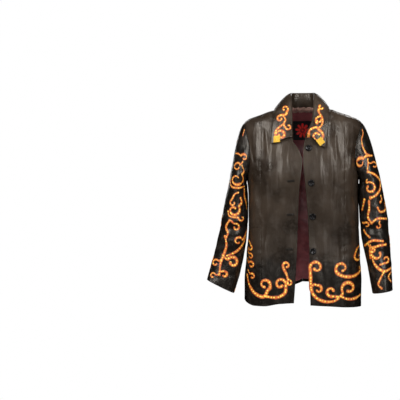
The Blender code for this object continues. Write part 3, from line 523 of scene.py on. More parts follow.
def crease_rise(points, forward):
    """Creases, seam puckers and the unevenness of worn leather, at points of the body."""
    x, height = points[..., 0], points[..., 2]
    rise = np.zeros(x.shape)
    for face, x0, z0, x1, z1, bow, half_width, amount in CREASES:
        run = np.hypot(x1 - x0, z1 - z0)
        t = ((x - x0) * (x1 - x0) + (height - z0) * (z1 - z0)) / run**2
        off = ((x - x0) * (z1 - z0) - (height - z0) * (x1 - x0)) / run - 4 * bow * t * (1 - t)
        ends = smoothstep((t + 0.1) / 0.4) * smoothstep((1.1 - t) / 0.4)
        shape = CREASE_RISE * amount * bell(off / (CREASE_WIDTH * half_width))
        rise += shape * ends * smoothstep(3 * face * forward)
    side = np.sign(forward) * FACE_SHIFT
    pitch, reach = PRINCESS_PUCKER
    pucker = ripple(height / pitch, side + np.sign(x) * 9, 3)
    rise += SEAM_PUCKER * pucker * bell(np.abs(np.abs(x) - PRINCESS_X) / reach)
    pitch, reach = WAIST_PUCKER
    from_waist = np.abs(height - WAIST_HEIGHT) / reach + 3 * (np.abs(x) < PRINCESS_X)
    rise += SEAM_PUCKER * ripple(x / pitch, side, 5) * bell(from_waist)
    for amount, wide, high, seed in BODY_BUMPS:
        rise += amount * ripple(x / wide + side, height / high, seed)
    fullness = bell((height - FULLNESS_HEIGHT) / FULLNESS_REACH)
    fullness = fullness * smoothstep((np.abs(x) - FULLNESS_START) / FULLNESS_BUILD)
    rise += np.where(x > 0, *SIDE_FULLNESS) * fullness
    return rise


def body(turn, height, lift=0.0):
    """A point of the creased body; lift is 0 on the outer face and positive outside it."""
    plain = ring(turn, height)
    forward = along_body(np.asarray(turn, float))
    rise = fold_rise(plain, forward) + crease_rise(plain, forward) + lift
    return plain + body_normal(turn, height) * np.asarray(rise)[..., None]


QUARTER = np.linspace(0, np.pi / 2, 65)
LEVELS = 1 - (1 - np.linspace(0, 1, 121)) ** 2
ACROSS_QUARTER = across(QUARTER)


def turn_of_x(x, height):
    """The turn, from the centre front, at which the front has this x."""
    half_width = body_sizes(height)[..., 0]
    share = np.clip(np.abs(x) / half_width, 0, 1)
    return np.sign(x) * np.interp(share, ACROSS_QUARTER, QUARTER)


class Quarter:
    """A quarter of the body laid flat as (distance across, height).

    Distance is measured from the centre line, round the ring if by_length and else along x.
    side is 1 for the wearer's left. Turns given to lay_flat are those of the left side.
    """

    def __init__(self, side, back, by_length):
        self.side, self.back, self.by_length = side, back, by_length

    def lengths(self, height):
        turns = np.pi - QUARTER if self.back else QUARTER
        points = ring(turns, np.asarray(height, float)[..., None])
        steps = np.linalg.norm(np.diff(points, axis=-2), axis=-1)
        return np.concatenate([np.zeros((len(steps), 1)), np.cumsum(steps, axis=-1)], axis=-1)

    def lay_flat(self, turn, height):
        turn = np.asarray(turn, float)
        height = np.broadcast_to(np.asarray(height, float), turn.shape)
        from_line = np.pi - turn if self.back else turn
        if self.by_length:
            rows = zip(from_line, self.lengths(height))
            distance = np.array([np.interp(t, QUARTER, row) for t, row in rows])
        else:
            distance = body_sizes(height)[..., 0] * across(from_line)
        return pairs(distance, height)

    def place(self, flat):
        """Signed turns and heights of flat points, clear of the side and shoulder seams."""
        distance, height = flat[..., 0], flat[..., 1]
        if self.by_length:
            rows = zip(distance.ravel(), self.lengths(height.ravel()))
            from_line = np.array([np.interp(d, row, QUARTER) for d, row in rows])
            from_line = from_line.reshape(distance.shape)
        else:
            from_line = turn_of_x(distance, height)
        depth = body_sizes(height)[..., 2 if self.back else 1]
        clear = HALF_GAP * (1 - SQUARENESS) / (depth * (1 + 3 * SQUARENESS))
        from_line = np.minimum(from_line, np.pi / 2 - clear)
        return self.side * (np.pi - from_line if self.back else from_line), height


# Outlines of the pattern pieces, as polylines of (distance across, height)


def height_on_shoulder(x):
    heights = np.linspace(SHOULDER_POINT_HEIGHT, NECK_POINT_HEIGHT, 200)
    return float(np.interp(-x, -body_sizes(heights)[:, 0], heights))


def princess_seam(quarter, low, high, gap):
    """The seam that keeps its x, moved sideways by gap."""
    heights = low + (high - low) * LEVELS
    turn = turn_of_x(PRINCESS_X + gap, heights)
    return quarter.lay_flat(np.pi - turn if quarter.back else turn, heights)


def side_seam(quarter, low, high):
    heights = low + (high - low) * LEVELS
    return quarter.lay_flat(np.full(len(LEVELS), np.pi / 2), heights)


def inner_edge(side, back, low, high):
    """The front edge, or the centre-back seam."""
    heights = low + (high - low) * LEVELS
    if back:
        return pairs(HALF_GAP, heights)
    edge = left_edge if side > 0 else right_edge
    return pairs(np.abs(edge(heights)[:, 0]), heights)


def shoulder_seam(quarter, x_in, x_out, count=40):
    heights = np.linspace(height_on_shoulder(x_in), height_on_shoulder(x_out), count)
    return quarter.lay_flat(np.full(count, np.pi / 2), heights)


def armhole(degrees):
    """(turn, height) round the left armhole, 0 at the shoulder and 90 in front."""
    t = np.radians(np.asarray(degrees, float))
    middle = (SHOULDER_POINT_HEIGHT + UNDERARM_HEIGHT) / 2
    half = (SHOULDER_POINT_HEIGHT - UNDERARM_HEIGHT) / 2
    reach = np.where(np.sin(t) > 0, ARMHOLE_FRONT_TURN, ARMHOLE_BACK_TURN)
    turn = np.pi / 2 - np.radians(reach) * np.sin(t) * (1 - ARMHOLE_DROOP * np.cos(t))
    return turn, middle + half * np.cos(t)


def front_neckline(side, count=60):
    """(turn, height) from the front edge's top up to the neck point."""
    table = LEFT_FRONT_EDGE if side > 0 else RIGHT_FRONT_EDGE
    end_height, end_x = table[-1][0], abs(table[-1][1])
    neck_x = body_sizes(NECK_POINT_HEIGHT)[0]
    t = np.linspace(0, np.pi / 2, count)
    x = end_x + (neck_x - end_x) * np.sin(t) ** NECK_CURVE
    height = NECK_POINT_HEIGHT + (end_height - NECK_POINT_HEIGHT) * np.cos(t)
    return turn_of_x(x, height), height


def back_neckline(count=40):
    """(turn, height) from the centre back to the neck point."""
    turn = np.linspace(np.pi, np.pi / 2, count)
    rise = ((np.pi - turn) / (np.pi / 2)) ** 2
    return turn, BACK_NECK_HEIGHT + (NECK_POINT_HEIGHT - BACK_NECK_HEIGHT) * rise


def inset(line, outside):
    """Moves a flat outline HALF_GAP away from a point outside the piece."""
    normal = left_of(line)
    away = ((line - outside) * normal).sum(axis=1)
    return line + normal * HALF_GAP * np.where(away < 0, -1, 1)[:, None]


def hem_line(quarter, turn_in, turn_out, count=50):
    turn = np.linspace(turn_in, turn_out, count)
    height = hem_curve(np.degrees(quarter.side * turn))[..., 0]
    return quarter.lay_flat(turn, height)


def spaced(quarter, line, rows, grading=1.0):
    """Points on a flat outline, evenly spaced along the cloth or closer at its top."""
    length = lengths_along(ring(*quarter.place(line)))
    shares = 1 - (1 - np.linspace(0, 1, rows + 1)) ** grading
    return points_along(line, length, shares * length[-1])


def patch(left, right, foot, top):
    """Fills four flat outlines with a grid; left and right run from foot to top."""
    left[0], left[-1], right[0], right[-1] = foot[0], top[0], foot[-1], top[-1]
    u = np.linspace(0, 1, len(foot))[None, :, None]
    rise = [(line[:, 1] - line[0, 1]) / (line[-1, 1] - line[0, 1]) for line in (left, right)]
    v = (1 - u) * rise[0][:, None, None] + u * rise[1][:, None, None]
    grid = (1 - v) * foot + v * top + (1 - u) * left[:, None] + u * right[:, None]
    grid -= (1 - v) * ((1 - u) * foot[0] + u * foot[-1])
    grid -= v * ((1 - u) * top[0] + u * top[-1])
    return grid


def centre_foot(quarter, cells):
    """The hem of a centre panel and the ends of its two lengthwise outlines."""
    side, back = quarter.side, quarter.back
    turn_out = float(turn_of_x(PRINCESS_X, PRINCESS_HEM_HEIGHT))
    edge_x = inner_edge(side, back, BELOW_HEM, FRONT_HEM_HEIGHT)[-1, 0]
    turn_in = float(turn_of_x(edge_x, FRONT_HEM_HEIGHT))
    if back:
        turn_in, turn_out = np.pi, np.pi - turn_out
    foot = resample(hem_line(quarter, turn_in, turn_out), cells)
    left = inner_edge(side, back, foot[0, 1], WAIST_HEIGHT)
    right = princess_seam(quarter, foot[-1, 1], WAIST_HEIGHT, -HALF_GAP)
    foot[0], foot[-1] = left[0], right[0]
    waist = np.linspace(left[-1], right[-1], cells + 1)
    left, right = (spaced(quarter, line, LOWER_ROWS) for line in (left, right))
    return waist, patch(left, right, foot, waist)


def centre_grid(side, back):
    """From the front edge or centre back to the princess seam, hem to neck and shoulder.

    A back's top row runs along the neck and the shoulder. A front's neck is part of its
    front edge, in the last NECK_CELLS rows.
    """
    quarter = Quarter(side, back, by_length=False)
    neck_x = float(body_sizes(NECK_POINT_HEIGHT)[0])
    shoulder = shoulder_seam(quarter, neck_x, PRINCESS_X - HALF_GAP)
    if back:
        neck = inset(quarter.lay_flat(*back_neckline()), ABOVE_BACK_NECK)
        neck[0, 0], neck[-1] = HALF_GAP, shoulder[0]
        neck, shoulder = resample(neck, NECK_CELLS), resample(shoulder, SHOULDER_COLUMNS)
        top = np.concatenate([neck[:-1], shoulder])
        left = inner_edge(side, back, WAIST_HEIGHT, top[0, 1])
        left = spaced(quarter, left, UPPER_ROWS, ROW_GRADING)
    else:
        neck = inset(quarter.lay_flat(*front_neckline(side)), ABOVE_FRONT_NECK)
        top = resample(shoulder, FRONT_COLUMNS)
        neck[-1] = top[0]
        left = inner_edge(side, back, WAIST_HEIGHT, neck[0, 1])
        neck[0] = left[-1]
        left = spaced(quarter, left, UPPER_ROWS - NECK_CELLS)
        left = np.concatenate([left[:-1], resample(neck, NECK_CELLS)])
    waist, lower = centre_foot(quarter, len(top) - 1)
    right = princess_seam(quarter, WAIST_HEIGHT, top[-1, 1], -HALF_GAP)
    right = spaced(quarter, right, UPPER_ROWS, ROW_GRADING)
    return quarter, np.concatenate([lower[:-1], patch(left, right, waist, top)])


def neck_cells(side, back):
    """The neck edge of a centre panel, from the front end or centre back to the neck point."""
    quarter, grid = centre_grid(side, back)
    line = grid[-1, : NECK_CELLS + 1] if back else grid[-1 - NECK_CELLS :, 0]
    turn, height = quarter.place(line)
    return np.stack([body(turn, height), body_normal(turn, height)])


def side_lower_grid(side, back):
    """From the princess seam to the side seam, hem to waist."""
    quarter = Quarter(side, back, by_length=True)
    turn_in = float(turn_of_x(PRINCESS_X, PRINCESS_HEM_HEIGHT))
    hem = hem_line(quarter, np.pi - turn_in if back else turn_in, np.pi / 2)
    high = WAIST_HEIGHT - HALF_GAP
    princess = princess_seam(quarter, hem[0, 1], high, HALF_GAP)
    seam = side_seam(quarter, hem[-1, 1], high)
    hem[0] = princess[0]
    foot = resample(hem, SIDE_COLUMNS)
    waist = np.linspace(princess[-1], seam[-1], len(foot))
    left, right = (spaced(quarter, line, LOWER_ROWS) for line in (princess, seam))
    return quarter, patch(left, right, foot, waist)


def side_upper_grid(side, back):
    """From the princess seam to the side seam and armhole, waist to shoulder."""
    quarter = Quarter(side, back, by_length=True)
    low = WAIST_HEIGHT + HALF_GAP
    shoulder_x = body_sizes(SHOULDER_POINT_HEIGHT)[0]
    top = resample(shoulder_seam(quarter, PRINCESS_X + HALF_GAP, shoulder_x), SIDE_COLUMNS)
    degrees = np.linspace(180, 0, ARMHOLE_CELLS + 1) * (-1 if back else 1)
    hole = inset(quarter.lay_flat(*armhole(degrees)), ARMHOLE_MIDDLE)
    princess = princess_seam(quarter, low, top[0, 1], HALF_GAP)
    seam = side_seam(quarter, low, hole[0, 1])
    hole[0], hole[-1] = seam[-1], top[-1]
    left = spaced(quarter, princess, UPPER_ROWS, ROW_GRADING)
    right = spaced(quarter, seam, UPPER_ROWS - ARMHOLE_CELLS)
    waist = np.linspace(princess[0], seam[0], SIDE_COLUMNS + 1)
    return quarter, patch(left, np.concatenate([right[:-1], hole]), waist, top)


def sleeve_normal(face, down, degrees, side):
    """The outward normal of a sleeve's face, a function of (down, degrees)."""
    small_down, small_turn = 0.01, 0.5
    length = face(np.clip(down + small_down, 0, 2), degrees)
    length = length - face(np.clip(down - small_down, 0, 2), degrees)
    around = face(down, degrees + small_turn) - face(down, degrees - small_turn)
    return unit(np.cross(around, length)) * side


def sleeve_surface(side):
    """The outer face of a sleeve by (down, degrees); down is 0 at the armhole, 1 below the
    underarm and 2 at the cuff, and degrees run as in the armhole."""
    table = np.array(LEFT_SLEEVE if side > 0 else RIGHT_SLEEVE)
    length = lengths_along(table[:, :3])
    rings = smooth_curve(np.column_stack([length / length[-1], table]))

    def arm(share, degrees):
        x, y, z, half_width, half_depth, slope = np.moveaxis(rings(share), -1, 0)
        t, slope = np.radians(degrees), np.radians(slope)
        out = half_width * np.cos(t)
        outwards, upwards = side * (x + out * np.cos(slope)), z + out * np.sin(slope)
        return np.stack([outwards, y - half_depth * np.sin(t), upwards], axis=-1)

    def hole(degrees):
        turn, height = armhole(degrees)
        return body(side * turn, height)

    def cap(share, degrees):
        start, arrival = hole(degrees), arm(np.zeros_like(share), degrees)
        turn, height = armhole(degrees)
        normal = body_normal(side * turn, height)
        along = unit(hole(degrees + 0.5) - hole(degrees - 0.5))
        into_hole = side * np.cross(normal, along)
        t = np.radians(degrees)
        top = (1 + np.cos(t)) / 2
        heading = [side * (0.35 + 0.65 * top), -0.3 * np.sin(t), -1.0 + 0.35 * top]
        heading = unit(np.stack(heading, axis=-1))
        angle = np.arccos(np.clip((into_hole * heading).sum(axis=-1), -1, 1))[..., None] / 2
        start = start + SEAM_GAP * (into_hole * np.cos(angle) + normal * np.sin(angle))
        reach = np.linalg.norm(arrival - start, axis=-1)[..., None]
        leave = heading * reach * SLEEVE_START
        downwards = unit(arm(np.full_like(share, 0.05), degrees) - arrival)
        arrive = downwards * reach * SLEEVE_ARRIVAL
        return hermite(start, leave, arrival, arrive, share[..., None])

    def plain(down, degrees):
        down, degrees = np.broadcast_arrays(np.asarray(down, float), np.asarray(degrees, float))
        upper = cap(np.clip(down, 0, 1), degrees)
        return np.where((down > 1)[..., None], arm(np.clip(down - 1, 0, 1), degrees), upper)

    def surface(down, degrees, lift=0.0):
        points, out = plain(down, degrees), sleeve_normal(plain, down, degrees, side)
        rise = np.full(points.shape[:-1], float(lift))
        for turn, height, half_turn, half_length, amount in SLEEVE_FOLDS:
            off = (degrees - turn) / half_turn
            rise += amount * np.exp(-(off**2) - ((points[..., 2] - height) / half_length) ** 2)
        return points + out * rise[..., None]

    return surface


def creased_sleeve(side):
    """The sleeve with its finer wrinkles, as a surface of (down, degrees, lift)."""
    plain = sleeve_surface(side)

    def surface(down, degrees, lift=0.0):
        down, degrees = np.broadcast_arrays(np.asarray(down, float), np.asarray(degrees, float))
        points, out = plain(down, degrees), sleeve_normal(plain, down, degrees, side)
        rise = np.zeros(points.shape[:-1])
        for turn, height, half_turn, half_length, amount, slant in ARM_WRINKLES:
            off = ((degrees - turn + 180) % 360 - 180) / half_turn
            along = (points[..., 2] - height - slant * off) / half_length
            rise += amount * np.exp(-(off**2) - along**2)
        settled = smoothstep(down / CAP_SETTLE)
        for amount, wide, high, seed in ARM_BUMPS:
            rise += amount * ripple(degrees / wide, points[..., 2] / high, seed + side) * settled
        inner = bell(((degrees + 360) % 360 - 180) / SAG_HALF_TURN)
        sag = smoothstep((down - SAG_START) / 0.25) * smoothstep((SAG_END - down) / 0.35)
        rise += INNER_FULLNESS[0 if side > 0 else 1] * inner * sag
        amount, wide, reach = CAP_GATHER
        gathers = amount * ripple(degrees / wide, 0.0 * down, 19 + side)
        rise += gathers * bell(down / reach) * settled
        return points + out * (rise * settled + lift)[..., None]

    return surface


def neck_edge():
    """The neck edge of the body from the right front end round to the left, with normals."""
    rows = {(side, back): neck_cells(side, back) for side in (-1, 1) for back in (False, True)}
    halves = []
    for side in (-1, 1):
        front, back = rows[side, False], rows[side, True]
        shared = (front[:, -1:] + back[:, -1:]) / 2
        halves.append(np.concatenate([front[:, :-1], shared, back[:, -2:0:-1]], axis=1))
    middle = (rows[-1, True][:, :1] + rows[1, True][:, :1]) / 2
    points, normals = np.concatenate([halves[0], middle, halves[1][:, ::-1]], axis=1)
    return points, unit(normals)


def collar_stations(shares):
    """Fold and outer edge of the collar at signed shares of the neckline."""
    folds, edges = np.zeros((len(shares), 3)), np.zeros((len(shares), 3))
    for side, front in ((-1, COLLAR_RIGHT_FRONT), (1, COLLAR_LEFT_FRONT)):
        rows = [(share, side * f[0], *f[1:], side * e[0], *e[1:]) for share, f, e in COLLAR_BACK]
        for share, fold, (x, height) in front:
            edge = body(turn_of_x(x, height), np.array(height), COLLAR_LIFT)
            rows.append((share, *fold, *edge))
        here = (shares * side > 0) | (shares == 0)
        found = smooth_curve(rows)(np.abs(shares[here]))
        folds[here], edges[here] = found[:, :3], found[:, 3:]
    return folds, edges


def bezier(controls, t):
    """Points of the curves with these control points, one row for each t."""
    t = np.asarray(t, float)[:, None, None]
    points = [np.asarray(control)[None] for control in controls]
    while len(points) > 1:
        points = [(1 - t) * a + t * b for a, b in zip(points, points[1:])]
    return points[0]


def grid_normals(grid):
    return unit(np.cross(np.gradient(grid, axis=1), np.gradient(grid, axis=0)))


def collar_sheet():
    """The collar's lower face from the neck seam over the fold to the edge, and its normals.

    The normals point out of the face that shows: the neck side of the stand, the top of the fall.
    """
    points, normals = neck_edge()
    along = unit(np.gradient(points, axis=0))
    upwards = unit(np.cross(along, normals))
    seam = points + NECK_SEAM_GAP * upwards
    length = lengths_along(points)
    middle = length[len(points) // 2]
    shares = (length - middle) / np.where(length < middle, middle, length[-1] - middle)
    folds, edges = collar_stations(shares)
    height = np.linalg.norm(folds - seam, axis=1, keepdims=True)
    bend = seam + COLLAR_PULL * height * upwards
    stand = bezier((seam, bend, folds), np.linspace(0, 1, STAND_ROWS + 1))
    leave = unit(folds - bend)
    back = folds - edges
    fold_out = unit(np.cross(leave, np.gradient(folds, axis=0)))
    away = unit(np.cross(back, np.gradient(folds + edges, axis=0)))
    roll = folds + COLLAR_ROLL * leave + COLLAR_BULGE * away / 2
    controls = (folds, roll, edges + COLLAR_PULL * back + COLLAR_BULGE * away, edges)
    fall = bezier(controls, np.linspace(0, 1, FALL_ROWS + 1) ** COLLAR_GRADING)
    stand_out, fall_out = -grid_normals(stand), grid_normals(fall)
    stand_out[0], fall_out[0] = normals, -fold_out
    return np.concatenate([stand[:-1], fall]), np.concatenate([-stand_out[:-1], fall_out])


# Materials


class Nodes:
    """A material's node tree, written as a chain of short calls."""

    def __init__(self, name):
        self.material = bpy.data.materials.new(name)
        self.material.use_nodes = True
        self.tree = self.material.node_tree
        self.shader = self.tree.nodes["Principled BSDF"]
        self.place = self.node("ShaderNodeTexCoord").outputs["Object"]

    def node(self, kind, inputs=(), **settings):
        made = self.tree.nodes.new(kind)
        for key, value in settings.items():
            setattr(made, key, value)
        for key, value in dict(inputs).items():
            self.feed(made.inputs[key], value)
        return made

    def feed(self, socket, value):
        """Links a socket to an output, or gives it a value of its own."""
        if isinstance(value, bpy.types.NodeSocket):
            self.tree.links.new(value, socket)
        else:
            socket.default_value = value

    def noise(self, scale, detail=3.0, roughness=0.55, where=None):
        inputs = {"Vector": where or self.place, "Scale": scale}
        inputs |= {"Detail": detail, "Roughness": roughness}
        return self.node("ShaderNodeTexNoise", inputs).outputs["Fac"]

    def ranged(self, value, low, high, start, end):
        inputs = {"Value": value, "From Min": low, "From Max": high, "To Min": start, "To Max": end}
        return self.node("ShaderNodeMapRange", inputs).outputs["Result"]

    def mix(self, factor, first, second, blend="MIX"):
        made = self.node("ShaderNodeMix", data_type="RGBA", blend_type=blend)
        for index, value in ((0, factor), (6, first), (7, second)):
            value = (*value, 1.0) if isinstance(value, tuple) else value
            self.feed(made.inputs[index], value)
        return made.outputs[2]

    def maths(self, operation, first, second=0.0):
        made = self.node("ShaderNodeMath", operation=operation)
        for index, value in enumerate((first, second)):
            self.feed(made.inputs[index], value)
        return made.outputs[0]

    def bump(self, height, distance, strength=1.0, under=None):
        inputs = {"Height": height, "Distance": distance, "Strength": strength}
        if under is not None:
            inputs["Normal"] = under
        return self.node("ShaderNodeBump", inputs).outputs["Normal"]

    def finish(self, **values):
        for key, value in values.items():
            self.feed(self.shader.inputs[key.replace("_", " ")], value)
        return self.material


BROWN_TONES = ((0.017, 0.0110, 0.0070), (0.046, 0.0310, 0.0205))
BLACK_TONE = (0.0065, 0.0048, 0.0036)
# Lighter brown-grey of the random patches painted on the leather as highlights
PAINTED_HIGHLIGHT_TONE = (0.060, 0.048, 0.040)
# Heights between which the body's brown turns fully black, and between which it darkens towards the
# bottom by up to 0.4 of the way to black
BLACK_FULL = (-0.50, -0.56)
DARKENING_DOWNWARDS = (-0.16, -0.42)


def leather(name, painted):
    """Leather with grain, fine wrinkles and painted highlight patches: black all over if painted,
    else darker downwards and black below the waist.
    """
    made = Nodes(name)
    cells = made.node("ShaderNodeTexVoronoi", {"Vector": made.place, "Scale": 620.0})
    wrinkles = made.noise(150.0, 4.0)
    cloud = made.noise(9.0, 3.0)
    fine = made.noise(900.0, 2.0)
    brown = made.mix(made.ranged(cloud, 0.35, 0.65, 0, 1), *BROWN_TONES)
    if painted:
        black = 1.0
    else:
        height = made.node("ShaderNodeSeparateXYZ", {"Vector": made.place}).outputs["Z"]
        edge = made.maths("ADD", height, made.ranged(made.noise(14.0), 0, 1, -0.05, 0.05))
        black = made.ranged(edge, *BLACK_FULL, 0, 1)
        black = made.maths("MAXIMUM", black, made.ranged(edge, *DARKENING_DOWNWARDS, 0, 0.40))
    colour = made.mix(black, brown, BLACK_TONE)
    # Lighter patches at random, painted highlights on the leather
    painted_highlight = made.ranged(made.noise(38.0, 4.0), 0.50, 0.75, 0, 0.35)
    colour = made.mix(painted_highlight, colour, PAINTED_HIGHLIGHT_TONE)
    rough = made.ranged(cloud, 0.3, 0.7, 0.24, 0.34)
    rough = made.maths("ADD", rough, made.ranged(fine, 0.3, 0.7, -0.03, 0.05))
    drawn = made.node("ShaderNodeMapping", {"Vector": made.place, "Scale": (1.0, 1.0, 0.13)})
    streaks = made.node(
        "ShaderNodeTexNoise", {"Vector": drawn.outputs[0], "Scale": 44.0, "Detail": 2.0}
    )
    normal = made.bump(streaks.outputs["Fac"], 0.0040, 0.7)
    normal = made.bump(made.noise(26.0, 3.0), 0.0020, 0.6, normal)
    normal = made.bump(wrinkles, 0.00055, 0.6, normal)
    normal = made.bump(cells.outputs["Distance"], 0.00022, 0.7, normal)
    return made.finish(
        Base_Color=colour, Roughness=rough, Normal=normal, Specular_IOR_Level=0.50,
        Specular_Tint=(1.0, 0.93, 0.84, 1.0),
    )


def satin(name, dark, light):
    made = Nodes(name)
    cloud = made.noise(30.0, 3.0)
    threads = made.node(
        "ShaderNodeTexWave", {"Vector": made.place, "Scale": 900.0, "Distortion": 0.6}
    )
    colour = made.mix(made.ranged(cloud, 0.3, 0.7, 0, 1), dark, light)
    normal = made.bump(made.noise(45.0, 3.0), 0.0012, 0.7)
    normal = made.bump(threads.outputs["Fac"], 0.00006, 0.5, normal)
    return made.finish(
        Base_Color=colour, Roughness=0.34, Normal=normal, Sheen_Weight=0.25, Sheen_Roughness=0.4
    )


def paint_stroke(name, edge, middle, light):
    """Brushed metallic paint: darker at the edges, streaked along its middle."""
    made = Nodes(name)
    across = made.node("ShaderNodeAttribute", attribute_name="across").outputs["Fac"]
    streaks = made.noise(160.0, 4.0, 0.7)
    blotches = made.noise(55.0, 2.0)
    body_colour = made.mix(made.ranged(blotches, 0.38, 0.62, 0, 1), middle, light)
    inside = made.maths("ADD", across, made.ranged(streaks, 0.3, 0.7, -0.45, 0.30))
    colour = made.mix(made.ranged(inside, 0.30, 0.95, 0, 1), body_colour, edge)
    normal = made.bump(streaks, 0.0004, 0.7)
    return made.finish(Base_Color=colour, Roughness=0.42, Normal=normal)


def plain_finish(name, colour, roughness, metallic=0.0, grain=0.0002, scale=400.0):
    made = Nodes(name)
    cloud = made.noise(scale / 6, 3.0)
    shade = made.mix(made.ranged(cloud, 0.3, 0.7, 0, 0.5), colour, tuple(0.6 * c for c in colour))
    rough = made.ranged(made.noise(scale / 2), 0.3, 0.7, roughness - 0.05, roughness + 0.08)
    normal = made.bump(made.noise(scale, 3.0), grain, 0.6)
    return made.finish(Base_Color=shade, Roughness=rough, Metallic=metallic, Normal=normal)


BROWN_LEATHER = leather("leather_chest", False)
BLACK_LEATHER = leather("leather_sleeve", True)
MAROON_SATIN = satin("lining_satin", (0.150, 0.028, 0.033), (0.270, 0.062, 0.066))
GOLD_PAINT = paint_stroke(
    "gold_paint", (0.17, 0.026, 0.005), (0.50, 0.100, 0.011), (0.66, 0.190, 0.020)
)
YELLOW_PAINT = plain_finish("yellow_paint", (0.95, 0.70, 0.10), 0.40)
METAL = plain_finish("corner_metal", (0.80, 0.47, 0.045), 0.40, 0.5, 0.0006, 260.0)
BUTTON_HORN = plain_finish("button_horn", (0.005, 0.004, 0.004), 0.22, 0.0, 0.0001)
THREAD = plain_finish("thread", (0.012, 0.010, 0.010), 0.7, 0.0, 0.0003, 1500.0)
PATCH_CLOTH = plain_finish("patch_cloth", (0.012, 0.010, 0.012), 0.65, 0.0, 0.0003, 1200.0)
# Near-black painted shade for the insides of the buttons' holes
PAINTED_HOLE_SHADE = plain_finish("button_hole_shade", (0.002, 0.002, 0.002), 0.8)
PETAL_PAINT = paint_stroke(
    "petal_paint", (0.50, 0.36, 0.16), (0.80, 0.70, 0.48), (0.92, 0.86, 0.68)
)
RUFFLE_SATIN = satin("ruffle_satin", (0.14, 0.05, 0.045), (0.42, 0.26, 0.20))
RED_PAINT = plain_finish("red_paint", (0.95, 0.028, 0.020), 0.42)

# Meshes


def add_object(name, data):
    made = bpy.data.objects.new(name, data)
    bpy.context.scene.collection.objects.link(made)
    return made


def mesh_piece(name, points, faces, material, slot, replaces=(), smooth=True, across=None):
    mesh = bpy.data.meshes.new(name)
    faces = faces if isinstance(faces, list) else np.asarray(faces).tolist()
    mesh.from_pydata(np.asarray(points).tolist(), [], faces)
    if smooth:
        mesh.shade_smooth()
    mesh.materials.append(material)
    if across is not None:
        layer = mesh.attributes.new("across", "FLOAT", "POINT")
        layer.data.foreach_set("value", np.asarray(across, np.float32))
    made = add_object(name, mesh)
    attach(made, "root")
    if replaces:
        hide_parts(*replaces)
    return made


def bordered(grid):
    """The grid with extra lines close to its four edges, and how low each point sits."""
    drops = []
    for axis in (0, 1):
        shares = [share for share, _ in EDGE_LINES]
        lines = np.arange(1, grid.shape[axis] - 1, dtype=float)
        last = grid.shape[axis] - 1
        places = np.concatenate([shares, lines, last - np.array(shares[::-1])])
        low = [drop for _, drop in EDGE_LINES]
        drops.append(np.concatenate([low, np.zeros(len(lines)), low[::-1]]))
        i = np.clip(np.floor(places).astype(int), 0, last - 1)
        t = (places - i).reshape((-1, 1, 1) if axis == 0 else (1, -1, 1))
        grid = np.take(grid, i, axis) * (1 - t) + np.take(grid, i + 1, axis) * t
    return grid, np.maximum(drops[0][:, None], drops[1][None, :])


def grid_faces(rows, columns, first=0, turned=False):
    """Quads of a grid of points that is stored row by row."""
    corner = first + np.arange((rows - 1) * columns).reshape(rows - 1, columns)[:, :-1]
    quads = np.stack([corner, corner + 1, corner + columns + 1, corner + columns], axis=-1)
    return (quads[..., ::-1] if turned else quads).reshape(-1, 4)


def grid_piece(name, points, material, slot, replaces=()):
    """An open sheet from a grid of points."""
    faces = grid_faces(*points.shape[:2])
    return mesh_piece(name, points.reshape(-1, 3), faces, material, slot, replaces)


def shell(name, outer, inner, material, slot, replaces, rests_on, turned=False):
    """A closed sheet between two grids."""
    rows, columns = outer.shape[:2]
    count = rows * columns
    faces = [grid_faces(rows, columns, 0, turned), grid_faces(rows, columns, count, not turned)]
    index = np.arange(count).reshape(rows, columns)
    rim = np.concatenate([index[0, :-1], index[:-1, -1], index[-1, :0:-1], index[:0:-1, 0]])
    after = np.roll(rim, -1)
    sides = np.stack([rim, rim + count, after + count, after], axis=1)
    faces.append(sides[:, ::-1] if turned else sides)
    points = np.concatenate([outer.reshape(-1, 3), inner.reshape(-1, 3)])
    made = mesh_piece(name, points, np.concatenate(faces), material, slot, replaces)
    across = np.linalg.norm(np.diff(outer, axis=1), axis=-1).sum(axis=1).max()
    along = np.linalg.norm(np.diff(outer, axis=0), axis=-1).sum(axis=0).max()
    cell = np.cross(outer[1:, :-1] - outer[:-1, :-1], outer[:-1, 1:] - outer[:-1, :-1])
    area = float(np.linalg.norm(cell, axis=-1).sum())
    area = min(max(area, LEAST_CUT_SHARE * across * along), across * along)
    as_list(rests_on)
    return made


def body_shell(name, quarter, grid, material, slot, node, rests_on, lift=0.0, thickness=WALL):
    grid, drop = bordered(grid)
    turn, height = quarter.place(grid)
    outer = body(turn, height, lift - drop)
    inner = body(turn, height, lift - thickness + INNER_DROP * drop)
    turned = (quarter.side > 0) == quarter.back
    return shell(name, outer, inner, material, slot, (node,), rests_on, turned)


def build_body():
    for side, word in SIDES:
        for back, face in ((False, "front"), (True, "back")):
            centre, stem = f"{face}_{word}", f"side_{face}_{word}"
            upper = stem + "_upper_leather"
            pieces = (
                (centre, centre_grid, [upper, "collar_leather"]),
                (stem + "_lower", side_lower_grid, [upper]),
                (stem + "_upper", side_upper_grid, [centre + "_leather"]),
            )
            for node, make_grid, rests_on in pieces:
                body_shell(node + "_leather", *make_grid(side, back), BROWN_LEATHER, "leather",
                           node, rests_on)


